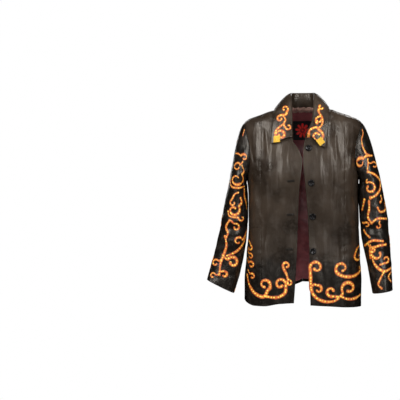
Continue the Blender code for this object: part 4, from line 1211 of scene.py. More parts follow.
def build_sleeves():
    cap_shares = np.linspace(0, 1, CAP_ROWS + 1)
    down = np.concatenate([cap_shares, 1 + np.linspace(0, 1, ARM_ROWS + 1)[1:]])
    surfaces = {}
    for side, word in SIDES:
        surface = surfaces[side] = creased_sleeve(side)
        pieces = (
            ("top_sleeve_" + word, SLEEVE_BACK_SEAM, SLEEVE_FRONT_SEAM),
            ("under_sleeve_" + word, SLEEVE_FRONT_SEAM, SLEEVE_BACK_SEAM + 360),
        )
        for node, start, end in pieces:
            columns = round((end - start) * ARMHOLE_CELLS / 180)
            degrees = np.tile(np.linspace(start, end, columns + 1), (len(down), 1))
            for column, sign in ((0, 1), (-1, -1)):
                edge = degrees[:, column]
                step = surface(down, edge + 0.5) - surface(down, edge - 0.5)
                degrees[:, column] += sign * HALF_GAP / np.linalg.norm(step, axis=-1)
            rows = np.tile(down[:, None], (1, columns + 1))
            grid, drop = bordered(np.stack([rows, degrees], axis=-1))
            outer = surface(grid[..., 0], grid[..., 1], -drop)
            inner = surface(grid[..., 0], grid[..., 1], -WALL + INNER_DROP * drop)
            shell(node + "_leather", outer, inner, BLACK_LEATHER, "leather", (node,),
                  [f"side_front_{word}_upper_leather", f"side_back_{word}_upper_leather"],
                  side < 0)
    return surfaces


def build_collar():
    under, out = collar_sheet()
    packed, drop = bordered(np.concatenate([under, out], axis=-1))
    under, out = packed[..., :3], unit(packed[..., 3:])
    top = under + out * (COLLAR_WALL - drop)[..., None]
    shell("collar_leather", top, under, BROWN_LEATHER, "leather", ("collar",),
          ["front_left_leather", "front_right_leather"])


def build_linings():
    lift = -(WALL + LINING_GAP)
    halves = []
    for side, word in SIDES:
        quarter, grid = centre_grid(side, False)
        grid = grid[FRONT_LINING_START:, FRONT_COLUMNS // 2:]
        body_shell(f"front_lining_{word}_satin", quarter, grid, MAROON_SATIN, "lining",
                   f"front_lining_{word}", [f"front_{word}_leather"], lift, LINING_WALL)
        quarter, grid = centre_grid(side, True)
        turn, height = quarter.place(grid[BACK_LINING_START:])
        x, _, z = np.moveaxis(body(turn, height, lift), -1, 0)
        slack = ripple(x / 0.028, z / 0.10, 23) + 1
        slack += 1 + ripple(x / 0.05 + z / 0.03, z / 0.02, 29)
        slack *= LINING_SLACK * smoothstep((LINING_SLACK_TOP - z) / 0.06)
        slack *= smoothstep((z - z[0]) / 0.05)
        faces = (lift - slack, lift - slack - LINING_WALL)
        halves.append([body(turn, height, face) for face in faces])
    left, right = np.array(halves)
    middle = (left[:, :, :1] + right[:, :, :1]) / 2
    outer, inner = np.concatenate([right[:, :, :0:-1], middle, left[:, :, 1:]], axis=2)
    shell("back_lining_satin", outer, inner, MAROON_SATIN, "lining", ("back_lining",),
          ["back_left_leather", "back_right_leather"])


build_body()
sleeves = build_sleeves()
build_collar()
build_linings()

# Scrollwork

STROKE_STEP = 0.0022
# A curl: its points, how far its radius closes, and how the closing gathers pace
CURL_POINTS = 26
CURL_CLOSING = 0.70
CURL_PACE = 1.15
# The search for a place on a sleeve: its rounds, trial step, damping and longest move
FIND_ROUNDS = 2
FIND_STEP = 0.0005
FIND_DAMPING = 0.02
FIND_REACH = 0.004
DOT_PITCH = 0.0115
DOT_RADII = (0.0012, 0.0030)


def body_chart(back):
    """The cloth of the front or back as (distance round the body from its middle, height)."""
    quarter = Quarter(1, back, by_length=True)

    def at(flat, lift):
        turn, height = quarter.place(pairs(np.abs(flat[..., 0]), flat[..., 1]))
        return body(np.where(flat[..., 0] < 0, -turn, turn), height, lift)

    def find(x, height):
        x, height = np.asarray(x, float), np.asarray(height, float)
        turn = turn_of_x(np.abs(x), height)
        distance = quarter.lay_flat((np.pi - turn if back else turn).ravel(), height.ravel())
        return pairs(np.sign(x) * distance[:, 0].reshape(x.shape), height)

    return at, find


def sleeve_chart(side):
    """The cloth of a sleeve as (distance round it from the outer line, distance down it)."""
    surface = sleeves[side]
    down, degrees = np.linspace(0, 2, 161), np.linspace(-180, 180, 145)
    points = surface(down[:, None] + 0 * degrees, degrees + 0 * down[:, None])
    around = np.linalg.norm(np.diff(points, axis=1), axis=-1).sum(axis=1)
    length = lengths_along(points[:, len(degrees) // 2])

    def at(flat, lift):
        here = np.interp(flat[..., 1], length, down)
        turn = 360 * flat[..., 0] / np.interp(here, down, around)
        return surface(here, turn, lift)

    def find(x, height):
        """The nearest cloth seen from the front, then moved closer in small steps."""
        half = degrees > 0
        seen = points[:, half]
        wanted = pairs(np.ravel(x), np.ravel(height))
        flat = np.zeros(wanted.shape)
        for number, (px, pz) in enumerate(wanted):
            gap = np.hypot(seen[..., 0] - px, seen[..., 2] - pz)
            row, column = np.unravel_index(gap.argmin(), gap.shape)
            flat[number] = degrees[half][column] / 360 * around[row], length[row]
        for _ in range(FIND_ROUNDS):
            here = at(flat, 0.0)[:, [0, 2]]
            across_step = (at(flat + (FIND_STEP, 0), 0.0)[:, [0, 2]] - here) / FIND_STEP
            down_step = (at(flat + (0, FIND_STEP), 0.0)[:, [0, 2]] - here) / FIND_STEP
            steps = np.stack([across_step, down_step], axis=-1)
            away = wanted - here
            turned = np.swapaxes(steps, 1, 2)
            damped = turned @ steps + FIND_DAMPING * np.eye(2)
            move = np.linalg.solve(damped, turned @ away[..., None])[..., 0]
            flat += np.clip(move, -FIND_REACH, FIND_REACH)
        return flat.reshape(np.shape(x) + (2,))

    return at, find


def seen_chart(name):
    """The cloth of a piece as it is met from in front at (x, height)."""
    mesh = bpy.data.objects[name].data
    tree = BVHTree.FromPolygons([v.co for v in mesh.vertices], [p.vertices for p in mesh.polygons])

    def at(flat, lift):
        lift = np.broadcast_to(lift, flat.shape[:-1])
        points = np.zeros(flat.shape[:-1] + (3,))
        for place in np.ndindex(flat.shape[:-1]):
            start = Vector((flat[place][0], -1.0, flat[place][1]))
            hit, normal, _, _ = tree.ray_cast(start, Vector((0, 1, 0)))
            if hit and normal.y > 0:
                normal = -normal
            points[place] = hit + normal * lift[place] if hit else np.nan
        return points

    return at, pairs


def curl(x, y, radius, angle, hand, turns=0.9):
    """A spiral from its rim, where it is entered at an angle, in to its eye."""
    t = np.linspace(0, 1, CURL_POINTS)
    reach = radius * (1 - CURL_CLOSING * t**CURL_PACE)
    around = np.radians(angle) + hand * 2 * np.pi * turns * t
    return (x, y) + reach[:, None] * circle(around)


def even(line):
    """The same line with points of its own every STROKE_STEP."""
    length = lengths_along(line)
    wanted = np.linspace(0, length[-1], max(6, int(length[-1] / STROKE_STEP)))
    return points_along(line, length, wanted)


def through(points):
    """A smooth line through the points, with points of its own every STROKE_STEP."""
    points = np.asarray(points, float)
    ends = [2 * points[0] - points[1]], [2 * points[-1] - points[-2]]
    p = np.concatenate([ends[0], points, ends[1]])
    knots = np.concatenate([[0.0], np.cumsum(np.linalg.norm(np.diff(p, axis=0), axis=1) ** 0.5)])
    pieces = []
    for i in range(1, len(p) - 2):
        t = np.linspace(knots[i], knots[i + 1], 12, endpoint=False)[:, None]
        t0, t1, t2, t3 = knots[i - 1 : i + 3]
        a = []
        for j in range(i, i + 3):
            part = p[j - 1] * (knots[j] - t) + p[j] * (t - knots[j - 1])
            a.append(part / (knots[j] - knots[j - 1]))
        b1 = ((t2 - t) * a[0] + (t - t0) * a[1]) / (t2 - t0)
        b2 = ((t3 - t) * a[1] + (t - t1) * a[2]) / (t3 - t1)
        pieces.append(((t2 - t) * b1 + (t - t1) * b2) / (t2 - t1))
    return even(np.concatenate([*pieces, points[-1:]]))


def stroke_line(parts):
    """The line of one stroke as it is seen, in metres.

    parts are points (x, height) and curls (x, height, radius, angle, hand, turns), in
    millimetres. A curl that comes first is left from its eye.
    """
    lines = []
    for number, part in enumerate(parts):
        x, y = part[0] / 1000, part[1] / 1000
        if len(part) == 2:
            lines.append(np.array([[x, y]]))
            continue
        spiral = curl(x, y, part[2] / 1000, *part[3:])
        lines.append(spiral[::-1] if number == 0 else spiral)
    return through(np.concatenate(lines))


def lay_strokes(brush, strokes, find, seed):
    """Paint strokes (width in millimetres, then parts) where they are seen on the cloth."""
    lines = [stroke_line(parts) for _, *parts in strokes]
    places = np.concatenate(lines)
    ends = np.cumsum([len(line) for line in lines])[:-1]
    found = np.split(find(places[:, 0], places[:, 1]), ends)
    for number, (stroke, line) in enumerate(zip(strokes, found)):
        brush.stroke(even(line), stroke[0] / 1000, seed=seed + number)


class Brush:
    """Gathers the strokes and dots of one piece and then makes its meshes."""

    ACROSS = np.array([-1.0, -0.62, 0.0, 0.62, 1.0])
    RISE = np.array([0.00004, 0.00034, 0.00050, 0.00034, 0.00004])
    # Lifts of a dot's rim, shoulder and top
    DOME = np.repeat([0.00048, 0.00078, 0.00088], [8, 8, 1])

    def __init__(self, at):
        self.at = at
        self.flats, self.lifts, self.faces, self.across, self.count = [], [], [], [], 0
        self.dot_flats, self.dot_lifts, self.dot_faces = [], [], []

    def stroke(self, line, width, ends=(0.55, 0.55), dots=True, seed=0):
        length = lengths_along(line)
        swell = 0.45 + 0.55 * np.sin(np.pi * (length / length[-1])) ** 0.7
        tips = np.minimum(length, length[-1] - length) / (0.45 * width)
        round_tip = np.sqrt(np.clip(1 - (1 - np.clip(tips, 0, 1)) ** 2, 0.01, 1))
        bulb = ends[0] * bell(length / (0.8 * width))
        bulb += ends[1] * bell((length[-1] - length) / (0.8 * width))
        wobble = 1 + 0.14 * ripple(length / 0.011, seed, 31)
        half = width / 2 * (swell + bulb) * wobble * round_tip
        flat = line[:, None] + left_of(line)[:, None] * (half[:, None] * self.ACROSS)[..., None]
        rows = len(line)
        self.flats.append(flat.reshape(-1, 2))
        self.lifts.append(np.tile(self.RISE, rows))
        self.faces.append(grid_faces(rows, 5, self.count))
        self.across.append(np.tile(np.abs(self.ACROSS), rows))
        self.count += rows * 5
        if dots:
            wanted = np.arange(0.4 * DOT_PITCH, length[-1] - 0.3 * DOT_PITCH, DOT_PITCH)
            wanted = wanted + 0.0045 * ripple(wanted / 0.009, seed, 37)
            share = 0.45 + 0.20 * ripple(wanted / 0.004, seed, 41)
            sizes = np.clip(np.interp(wanted, length, half) * share, *DOT_RADII)
            self.dots(points_along(line, length, wanted), sizes)

    def dots(self, places, radii):
        """Small domes: a rim and a shoulder of eight points each, and a top."""
        shape = circle(np.radians(np.arange(0, 360, 45)))
        for place, radius in zip(places, np.broadcast_to(radii, len(places))):
            flat = np.concatenate([place + radius * shape, place + 0.6 * radius * shape, [place]])
            first, i = 17 * len(self.dot_flats), np.arange(8)
            j = (i + 1) % 8
            rim = first + np.stack([i, j, j + 8, i + 8], axis=1)
            self.dot_faces += rim.tolist()
            self.dot_faces += [[first + 8 + a, first + 8 + b, first + 16] for a, b in zip(i, j)]
            self.dot_flats.append(flat)
            self.dot_lifts.append(self.DOME)

    def finish(self, name, material, slot, dot_material=None):
        """Make the two meshes, without what would lie off the piece."""
        ribbons = [face for faces in self.faces for face in faces.tolist()]
        for word, flats, lifts, faces, paint, across in (
            (name, self.flats, self.lifts, ribbons, material, self.across),
            (name + "_dots", self.dot_flats, self.dot_lifts, self.dot_faces,
             dot_material or YELLOW_PAINT, None),
        ):
            if not faces:
                continue
            points = self.at(np.concatenate(flats), np.concatenate(lifts))
            found = ~np.isnan(points).any(axis=1)
            faces = [face for face in faces if found[face].all()]
            used = np.zeros(len(points), bool)
            used[np.unique(np.concatenate(faces))] = True
            order = np.cumsum(used) - 1
            faces = [[int(order[i]) for i in face] for face in faces]
            across = None if across is None else np.concatenate(across)[used]
            mesh_piece(word, points[used], faces, paint, slot, across=across)


# Strokes of the fronts: width, then points and curls
FRONT_STROKES = (
    # The right front
    (14, (-202, -594), (-194, -632), (-172, -663), (-140, -673), (-136, -630, 21.8, -60, 1, 1.0)),
    (14, (-138, -670), (-110, -675), (-83, -672), (-62, -655), (-80, -627, 20.7, -20, 1, 1.05)),
    (11, (-58, -560, 13.1, 200, -1, 0.9), (-64, -579), (-55, -599), (-53, -623)),
    (9, (-56, -607), (-49, -622, 10.3, 80, -1, 0.8)),
    (9, (-201, -467), (-190, -479), (-190, -500, 10.3, 60, -1, 0.8)),
    (8, (-198, -504), (-196, -515), (-188, -530, 10.3, 120, -1, 0.85)),
    (9, (-199, -536), (-198, -549), (-186, -561, 12.5, 140, -1, 0.9)),
    (9, (-199, -578), (-193, -591), (-183, -602, 10.3, 120, -1, 0.8)),
    # The left front
    (14, (48, -566, 22.9, 200, -1, 1.05), (28, -602), (31, -647), (47, -673), (76, -687),
     (110, -687), (132, -672)),
    (11, (31, -632), (42, -626), (55, -644, 15.2, 110, -1, 0.8)),
    (13, (134, -673), (116, -670), (102, -652, 18.5, -70, -1, 0.85)),
    (14, (135, -673), (164, -642, 25.6, 215, -1, 1.0)),
    (12, (131, -668), (161, -680), (186, -679), (208, -668)),
    (14, (210, -552), (206, -580), (186, -597), (153, -600), (140, -570, 23.4, 235, -1, 0.95)),
    (11, (210, -466), (202, -486), (189, -505), (197, -531, 14.7, 150, 1, 0.85)),
    (9, (208, -541), (213, -554), (205, -568, 8.7, 60, -1, 0.8)),
)
COLLAR_STROKES = (
    # The right leaf
    (10, (-64, 4, 12.0, -50, 1, 0.9), (-60, -17), (-75, -19), (-81, -32, 10.9, 120, 1, 0.8)),
    (9, (-72, -19), (-62, -36), (-68, -54), (-51, -63, 10.9, 190, 1, 0.85)),
    (9, (-66, -50), (-83, -63), (-94, -74), (-101, -90)),
    (12, (-98, -103), (-94, -82), (-78, -92, 16.3, 140, -1, 1.0)),
    # The left leaf
    (10, (68, 9, 10.3, 120, 1, 0.7), (57, -5), (64, -20), (70, -31)),
    (10, (60, -38, 13.1, 60, 1, 0.95), (71, -44), (66, -60), (54, -70)),
    (9, (49, -29), (47, -44), (54, -55)),
    (12, (20, -98), (25, -77), (49, -66), (52, -97, 21.8, 70, -1, 1.15)),
    (12, (19, -94), (29, -112), (47, -122), (61, -125)),
)


def vine(middle, start, end, sway, pitch, radius, hand, seed):
    """A wavy stem with a curl in each bay, as lists of cloth points in metres."""
    random = np.random.default_rng(seed)
    bays = max(2, round(abs(end - start) / pitch))
    pitch = (end - start) / bays
    way = np.sign(pitch)

    def stem(v):
        return middle(v) + hand * sway * np.sin(np.pi * (v - start) / pitch)

    stem_v = np.linspace(start, end, bays * 4 + 1)
    lines = [through(pairs(stem(stem_v), stem_v))]
    for bay in range(bays):
        side = hand * (1 if bay % 2 == 0 else -1)
        size = radius * random.uniform(0.80, 1.12)
        leave_v = start + (bay + 0.10 + 0.1 * random.uniform(-1, 1)) * pitch
        eye_v = start + (bay + 0.50 + 0.08 * random.uniform(-1, 1)) * pitch
        eye_u = middle(eye_v) - side * (sway * 0.35 + 0.15 * size)
        angle = np.degrees(np.arctan2(-way * 0.4, -side * 1.0))
        turn = side * way
        spiral = curl(eye_u, eye_v, size, angle, turn, random.uniform(0.95, 1.2))
        lines.append(through(np.concatenate([[[stem(leave_v), leave_v]], spiral])))
        if random.uniform() < 0.6:
            twig_v = start + (bay + 0.86) * pitch
            twig_u = stem(twig_v)
            small = curl(twig_u + side * size * 0.75, twig_v + way * size * 0.2, size * 0.42,
                         90 * way + 60 * side, -side * way, 0.8)
            lines.append(through(np.concatenate([[[twig_u, twig_v]], small])))
    return lines


def paint_scrolls(name, chart, strokes, seed):
    """Gold scrolls on one chart of the cloth, with their yellow dots."""
    at, find = chart
    brush = Brush(at)
    lay_strokes(brush, strokes, find, seed)
    brush.finish(name, GOLD_PAINT, "gold")


RIGHT_SLEEVE_STROKES = (
    (7, (-212, -65), (-215, -78), (-219, -92)),
    (8, (-245, -155), (-233, -157), (-212, -171, 13.1, 150, -1, 0.9)),
    (8, (-215, -186), (-229, -199), (-236, -205, 15.2, 60, 1, 0.85)),
    (12, (-221, -196), (-212, -223), (-239, -250, 25.0, 40, -1, 1.05)),
    (9, (-263, -250), (-258, -276), (-233, -282), (-211, -276)),
    (9, (-212, -282), (-211, -314), (-206, -335), (-203, -360)),
    (9, (-230, -298), (-245, -304), (-254, -319), (-252, -336, 12.0, 120, 1, 0.8)),
    (12, (-226, -314), (-221, -335), (-249, -362, 21.8, 35, -1, 1.05)),
    (9, (-271, -362), (-266, -383), (-239, -389), (-221, -392, 10.9, 170, 1, 0.8)),
    (9, (-261, -399), (-242, -425, 14.1, 110, -1, 0.9)),
    (10, (-262, -395), (-278, -423), (-271, -447), (-279, -466)),
    (9, (-202, -431), (-211, -458), (-233, -475, 15.8, 10, 1, 0.9)),
    (10, (-207, -447), (-215, -482), (-239, -512), (-278, -530)),
    (12, (-292, -522), (-279, -537), (-253, -552, 20.7, 150, -1, 1.0)),
    (10, (-283, -453), (-276, -490), (-287, -528), (-297, -554), (-302, -602)),
    (9, (-293, -541), (-316, -555, 13.6, 30, 1, 0.9)),
    (9, (-301, -582), (-284, -596, 13.1, 130, -1, 0.85)),
    (8, (-302, -597), (-326, -601, 10.9, 20, 1, 0.85)),
)
LEFT_SLEEVE_STROKES = (
    (9, (215, -68), (218, -84), (212, -106), (217, -137), (232, -162), (252, -165)),
    (12, (250, -165), (226, -168), (208, -192, 18.5, 60, 1, 0.9)),
    (10, (233, -175), (234, -199), (231, -220)),
    (8, (234, -191), (257, -200, 13.1, 150, -1, 0.85)),
    (14, (230, -223), (258, -234), (278, -255), (277, -287), (257, -312), (237, -319)),
    (12, (230, -250), (240, -282, 21.8, 120, -1, 1.0)),
    (9, (279, -306), (283, -325), (275, -337)),
    (10, (295, -335), (296, -362), (277, -368), (266, -349)),
    (10, (222, -319), (218, -343), (213, -365)),
    (11, (237, -325), (238, -357), (234, -389), (247, -410)),
    (11, (242, -412), (266, -393), (302, -393)),
    (8, (215, -405), (229, -416, 10.9, 150, -1, 0.8)),
    (8, (276, -399), (269, -420, 9.8, 70, -1, 0.8)),
    (9, (219, -431), (227, -447), (242, -462)),
    (11, (222, -491), (247, -472), (290, -473)),
    (9, (234, -485), (248, -506, 12.0, 120, -1, 0.8)),
    (13, (300, -485), (272, -489), (266, -518, 25.0, 100, 1, 0.85)),
    (12, (245, -522), (258, -558), (288, -580), (317, -570)),
    (10, (272, -558), (296, -538, 13.1, -100, 1, 0.85)),
    (10, (289, -582), (278, -602), (269, -629), (283, -643)),
    (9, (317, -582), (305, -600), (316, -619)),
    (9, (242, -485), (240, -512), (243, -538)),
)
BACK_STROKES = (
    # The frame of the medallion
    (15, (61, -3), (127, -11), (189, -38), (192, -129), (176, -280), (141, -358), (76, -414),
     (12, -471)),
    (15, (-52, -3), (-107, -23), (-140, -69), (-161, -137), (-161, -260), (-136, -351),
     (-86, -401), (7, -471)),
    # Below the medallion
    (12, (167, -361), (172, -411), (172, -461)),
    (12, (163, -482), (170, -577), (153, -617), (179, -656), (212, -642)),
    (14, (42, -431), (82, -441), (61, -491, 28.0, 40, 1, 1.0)),
    (10, (172, -512), (204, -512, 15.0, 170, -1, 0.9)),
    (10, (167, -492), (141, -517, 15.0, 50, 1, 0.9)),
    (10, (161, -532), (126, -557, 15.0, 40, 1, 0.9)),
    (10, (167, -587), (204, -612, 15.0, 140, -1, 0.9)),
    (12, (127, -376), (122, -436), (102, -502), (77, -557, 17.5, 70, 1, 0.95)),
    (10, (11, -502), (32, -546, 15.0, 110, -1, 0.9)),
    (10, (10, -487), (-9, -495, 12.5, 50, 1, 0.9)),
    (12, (10, -476), (12, -542), (-28, -582), (-60, -612)),
    (14, (-127, -411), (-147, -416), (-157, -457, 34.0, 90, 1, 1.1)),
    (10, (-100, -416), (-72, -454, 15.0, 120, -1, 0.9)),
    (10, (-102, -411), (-100, -562), (-132, -602)),
    (10, (-107, -476), (-132, -512, 17.5, 70, 1, 0.9)),
    (10, (-172, -487), (-197, -518, 20.0, 70, 1, 0.9)),
    (10, (-102, -532), (-137, -562, 13.0, 50, 1, 0.9)),
    (10, (-147, -602), (-177, -612, 17.5, 30, 1, 0.9)),
    (12, (-77, -482), (-77, -532), (-71, -612), (-92, -623)),
    # The shoulders
    (11, (167, -33), (197, -58), (217, -94, 15.0, 120, -1, 0.9)),
    (11, (-147, -53), (-177, -74), (-200, -109, 15.0, 70, 1, 0.9)),
    (10, (197, -189), (217, -220, 14.0, 140, -1, 0.9)),
    (10, (-170, -189), (-190, -220, 14.0, 50, 1, 0.9)),
)

SLEEVE_VINES = (
    # share round the arm (0 outer, 0.25 front), start and end down the arm, sway, pitch,
    # radius, hand
    (-0.060, 0.045, 0.600, 0.016, 0.080, 0.022, 1),
    (-0.240, 0.110, 0.595, 0.016, 0.078, 0.021, -1),
    (-0.410, 0.260, 0.590, 0.012, 0.070, 0.016, 1),
)
# Girth of a sleeve at distances down it
SLEEVE_GIRTH = ((0.0, 0.20, 0.62), (0.50, 0.345, 0.292))
STEM_WIDTH = 0.0115
CURL_WIDTH = 0.0100


def paint_sleeves():
    for (side, word), strokes in zip(SIDES, (LEFT_SLEEVE_STROKES, RIGHT_SLEEVE_STROKES)):
        at, find = sleeve_chart(side)
        brush = Brush(at)
        lay_strokes(brush, strokes, find, 70)
        for number, (share, start, end, sway, pitch, radius, hand) in enumerate(SLEEVE_VINES):
            def middle(v, share=share):
                return share * np.interp(v, *SLEEVE_GIRTH)
            lines = vine(middle, start, end, sway, pitch, radius, hand * side, 50 + number + side)
            for count, line in enumerate(lines):
                width = CURL_WIDTH if count else STEM_WIDTH
                brush.stroke(line, width, seed=60 + count + 9 * number)
        brush.finish(f"sleeve_{word}_scrolls", GOLD_PAINT, "gold")


MEDALLION = (0.010, -0.195)
# Smallest radius, largest radius and step of its rings, and how much taller they are than wide
MEDALLION_RINGS = (0.052, 0.26, 0.0095)
MEDALLION_STRETCH = 1.18
MEDALLION_DOT_PITCH = 0.0092
MEDALLION_DOT_RADIUS = 0.0028
HEART_REACH = 0.0062
HEART_DOT_RADIUS = 0.0036
MEDALLION_FIELD = (
    (0.055, -0.020), (0.150, -0.050), (0.170, -0.130), (0.165, -0.230), (0.135, -0.330),
    (0.075, -0.390), (0.010, -0.440), (-0.060, -0.390), (-0.128, -0.330), (-0.150, -0.240),
    (-0.150, -0.130), (-0.130, -0.060), (-0.045, -0.020),
)
FLOWER_PETALS = (
    # start and end from the middle, width
    (0.012, 0.034, 0.020),
    (0.030, 0.046, 0.010),
)
DOT_COLOURS = (
    ("turquoise_paint", (0.02, 0.42, 0.45)), ("magenta_paint", (0.62, 0.03, 0.22)),
    ("amber_paint", (0.90, 0.52, 0.05)), ("orange_paint", (0.80, 0.16, 0.02)),
)


def inside_outline(points, outline):
    """Whether each flat point lies inside a closed outline."""
    x, y = points[:, 0], points[:, 1]
    found = np.zeros(len(points), bool)
    for (x0, y0), (x1, y1) in zip(outline, outline[1:] + outline[:1]):
        crosses = (y0 > y) != (y1 > y)
        reach = x0 + (y - y0) / (y1 - y0 if y1 != y0 else 1e-9) * (x1 - x0)
        found ^= crosses & (x < reach)
    return found


def paint_medallion(at):
    """Rings of coloured dots that fill the field of the medallion."""
    paints = [plain_finish(name, colour, 0.42) for name, colour in DOT_COLOURS]
    random = np.random.default_rng(7)
    brushes = [Brush(at) for _ in paints]
    for number, radius in enumerate(np.arange(*MEDALLION_RINGS)):
        count = int(2 * np.pi * radius / MEDALLION_DOT_PITCH)
        t = 2 * np.pi * (np.arange(count) + 0.5 * (number % 2)) / count
        places = circle(t) * (1.0, MEDALLION_STRETCH) * radius + MEDALLION
        sizes = MEDALLION_DOT_RADIUS * random.uniform(0.75, 1.15, count)
        ok = inside_outline(places, MEDALLION_FIELD)
        if ok.any():
            brushes[number % len(brushes)].dots(places[ok], sizes[ok])
    for brush, paint, (name, _) in zip(brushes, paints, DOT_COLOURS):
        brush.finish("medallion_" + name.split("_")[0], GOLD_PAINT, "gold", paint)


def paint_flower(at):
    """Two rows of eight petals round a red heart, in the middle of the medallion."""
    petals = Brush(at)
    for number in range(16):
        row = number // 8
        t = 2 * np.pi * number / 8 + row * np.pi / 8
        start, end, width = FLOWER_PETALS[row]
        spine = np.linspace(start, end, 12)[:, None] * circle(t) + MEDALLION
        petals.stroke(spine, width, (0.0, 0.2), False, number)
    petals.finish("medallion_petals", PETAL_PAINT, "gold")
    heart = Brush(at)
    spots = circle(np.arange(7) * np.pi / 3) * HEART_REACH + MEDALLION
    spots[6] = MEDALLION
    heart.dots(spots, HEART_DOT_RADIUS)
    heart.finish("medallion_heart", GOLD_PAINT, "gold", RED_PAINT)


def paint_back():
    """A medallion of dots round a flower, in a frame of scrolls."""
    chart = body_chart(True)
    paint_scrolls("back_scrolls", chart, BACK_STROKES, 110)
    paint_medallion(chart[0])
    paint_flower(chart[0])


# Small parts


def flat_place(name, x, height, reach):
    """Centre and axes of a stiff part lying on a piece: points, then out, right and up."""
    at, _ = seen_chart(name)
    t = np.radians(np.arange(0, 360, 30))
    beneath = at((x, height) + reach * circle(t), 0.0)
    beneath = beneath[~np.isnan(beneath).any(axis=1)]
    centre = beneath.mean(axis=0)
    out = np.linalg.svd(beneath - centre)[2][2]
    out = out if out[1] < 0 else -out
    right = unit(np.cross((0.0, 0.0, 1.0), out))
    up = np.cross(out, right)
    centre = centre + out * ((beneath - centre) @ out).max()
    offset = at(np.array([[x, height]]), 0.0)[0] - centre
    centre = centre + right * (offset @ right) + up * (offset @ up)
    return centre, out, right, up


def disc(name, centre, axes, profile, sides, material, slot, replaces=()):
    """A turned part from (radius, rise) pairs, from its middle down to its rim."""
    out, right, up = axes
    t = 2 * np.pi * np.arange(sides) / sides
    radial = in_plane(circle(t), right, up)
    points = [centre + out * profile[0][1]]
    for radius, rise in profile[1:]:
        points.extend(centre + radius * radial + rise * out)
    faces = [[0, 1 + i, 1 + (i + 1) % sides] for i in range(sides)]
    for row in range(len(profile) - 2):
        first = 1 + row * sides
        for i in range(sides):
            j = (i + 1) % sides
            faces.append([first + i, first + sides + i, first + sides + j, first + j])
    return mesh_piece(name, np.array(points), faces, material, slot, replaces)


FINE_BUTTON = (
    # radius, height above the leather, from the middle of the top down the rim
    (0.0, 0.0020), (0.0030, 0.00205), (0.0058, 0.0022), (0.0066, 0.0026), (0.0072, 0.0032),
    (0.0080, 0.0036), (0.0092, 0.0038), (0.0104, 0.0036), (0.0113, 0.0030), (0.0118, 0.0022),
    (0.0119, 0.0014), (0.0114, 0.0007), (0.0105, 0.0002),
)
BUTTON_FACE = 0.00212
BUTTON_HOLE_PLACE = 0.0019
# Radius and rise of a hole's rim and of its bottom
BUTTON_HOLE_RINGS = ((0.0012, 0.0), (0.0009, 0.0001))
THREAD_REACH = 0.0023
THREAD_WIDTH = 0.00035


def button_holes(name, centre, out, right, up):
    """Four holes, as shallow discs of two rings each, painted near-black as the shade inside each
    hole.
    """
    count = 12
    shape = in_plane(circle(np.radians(np.arange(0, 360, 360 // count))), right, up)
    points, faces = [], []
    for across_side in (-1, 1):
        for up_side in (-1, 1):
            place = centre + right * across_side * BUTTON_HOLE_PLACE
            place = place + up * up_side * BUTTON_HOLE_PLACE + out * BUTTON_FACE
            first = len(points)
            for radius, rise in BUTTON_HOLE_RINGS:
                points.extend(place + radius * shape + rise * out)
            for i in range(count):
                j = (i + 1) % count
                faces.append([first + i, first + j, first + count + j, first + count + i])
            faces.append([first + count + i for i in range(count)])
    mesh_piece(name, np.array(points), faces, PAINTED_HOLE_SHADE, "button_horn")


def button_thread(name, centre, out, right, up):
    """Two bands of thread each way, crossed and domed over the middle."""
    points, faces = [], []
    for way in (1, -1):
        sideways = (right - way * up) / np.sqrt(2)
        for band in (-1, 1):
            for a in np.linspace(-THREAD_REACH, THREAD_REACH, 9):
                middle = right * a + up * a * way + out * (0.0024 + 0.0006 * np.cos(a * 650))
                points.append(centre + middle + sideways * THREAD_WIDTH * (band + 1))
                points.append(centre + middle + sideways * THREAD_WIDTH * (band - 1))
            first = len(points) - 18
            faces += [[first + 2 * i, first + 2 * i + 2, first + 2 * i + 3, first + 2 * i + 1]
                      for i in range(8)]
    mesh_piece(name, np.array(points), faces, THREAD, "button_horn")


def build_fine_buttons():
    """Horn buttons with a raised rim, four holes and crossed thread."""
    for number, (x, height) in enumerate(BUTTONS, 1):
        centre, *axes = flat_place("front_left_leather", x, height, BUTTON_FOOT)
        disc(f"button_{number}_turned", centre, axes, FINE_BUTTON, 40, BUTTON_HORN, "button_horn",
             (f"button_{number}",))
        button_holes(f"button_{number}_holes", centre, *axes)
        button_thread(f"button_{number}_thread", centre, *axes)


def build_fine_buttonholes():
    """Two soft lips of leather round each slit, with sewn ends, in black leather as painted shade.
    """
    at, _ = seen_chart("front_right_leather")
    for number, (x, height) in enumerate(HOLES, 2):
        u, v = np.linspace(-1, 1, 27), np.linspace(-1, 1, 19)
        flat = pairs(
            x + u[None, :] * HOLE_LENGTH / 2,
            height + v[:, None] * HOLE_HEIGHT / 2 + 0.0006 * np.sin(3 * u)[None, :],
        )
        lip = np.clip(1 - ((np.abs(v) - 0.42) / 0.40) ** 2, 0, 1) ** 0.5
        ends = np.clip((1 - np.abs(u)) / 0.14, 0, 1) ** 0.5
        lift = 0.0001 + 0.0013 * lip[:, None] * ends[None, :]
        bars = 0.0012 * bell((np.abs(u) - 0.88) / 0.07)[None, :]
        lift = np.maximum(lift, bars * np.clip(1.2 * (1 - v**4), 0, 1)[:, None])
        # The lips' black leather is painted shade: darker than the front about them, where each
        # bound hole lies in shade
        grid_piece(f"buttonhole_{number}_bound", at(flat, lift), BLACK_LEATHER, "leather",
                   (f"buttonhole_{number}",))


CORNER_PLATES = (
    # side of the collar, x, height, degrees turned
    ("right", -0.0925, -0.1070, 4),
    ("left", 0.0630, -0.1165, 36),
)
PLATE_HALF_SIDE = 0.0125
PLATE_THICKNESS = 0.0010
PLATE_SKIRT = -0.0008


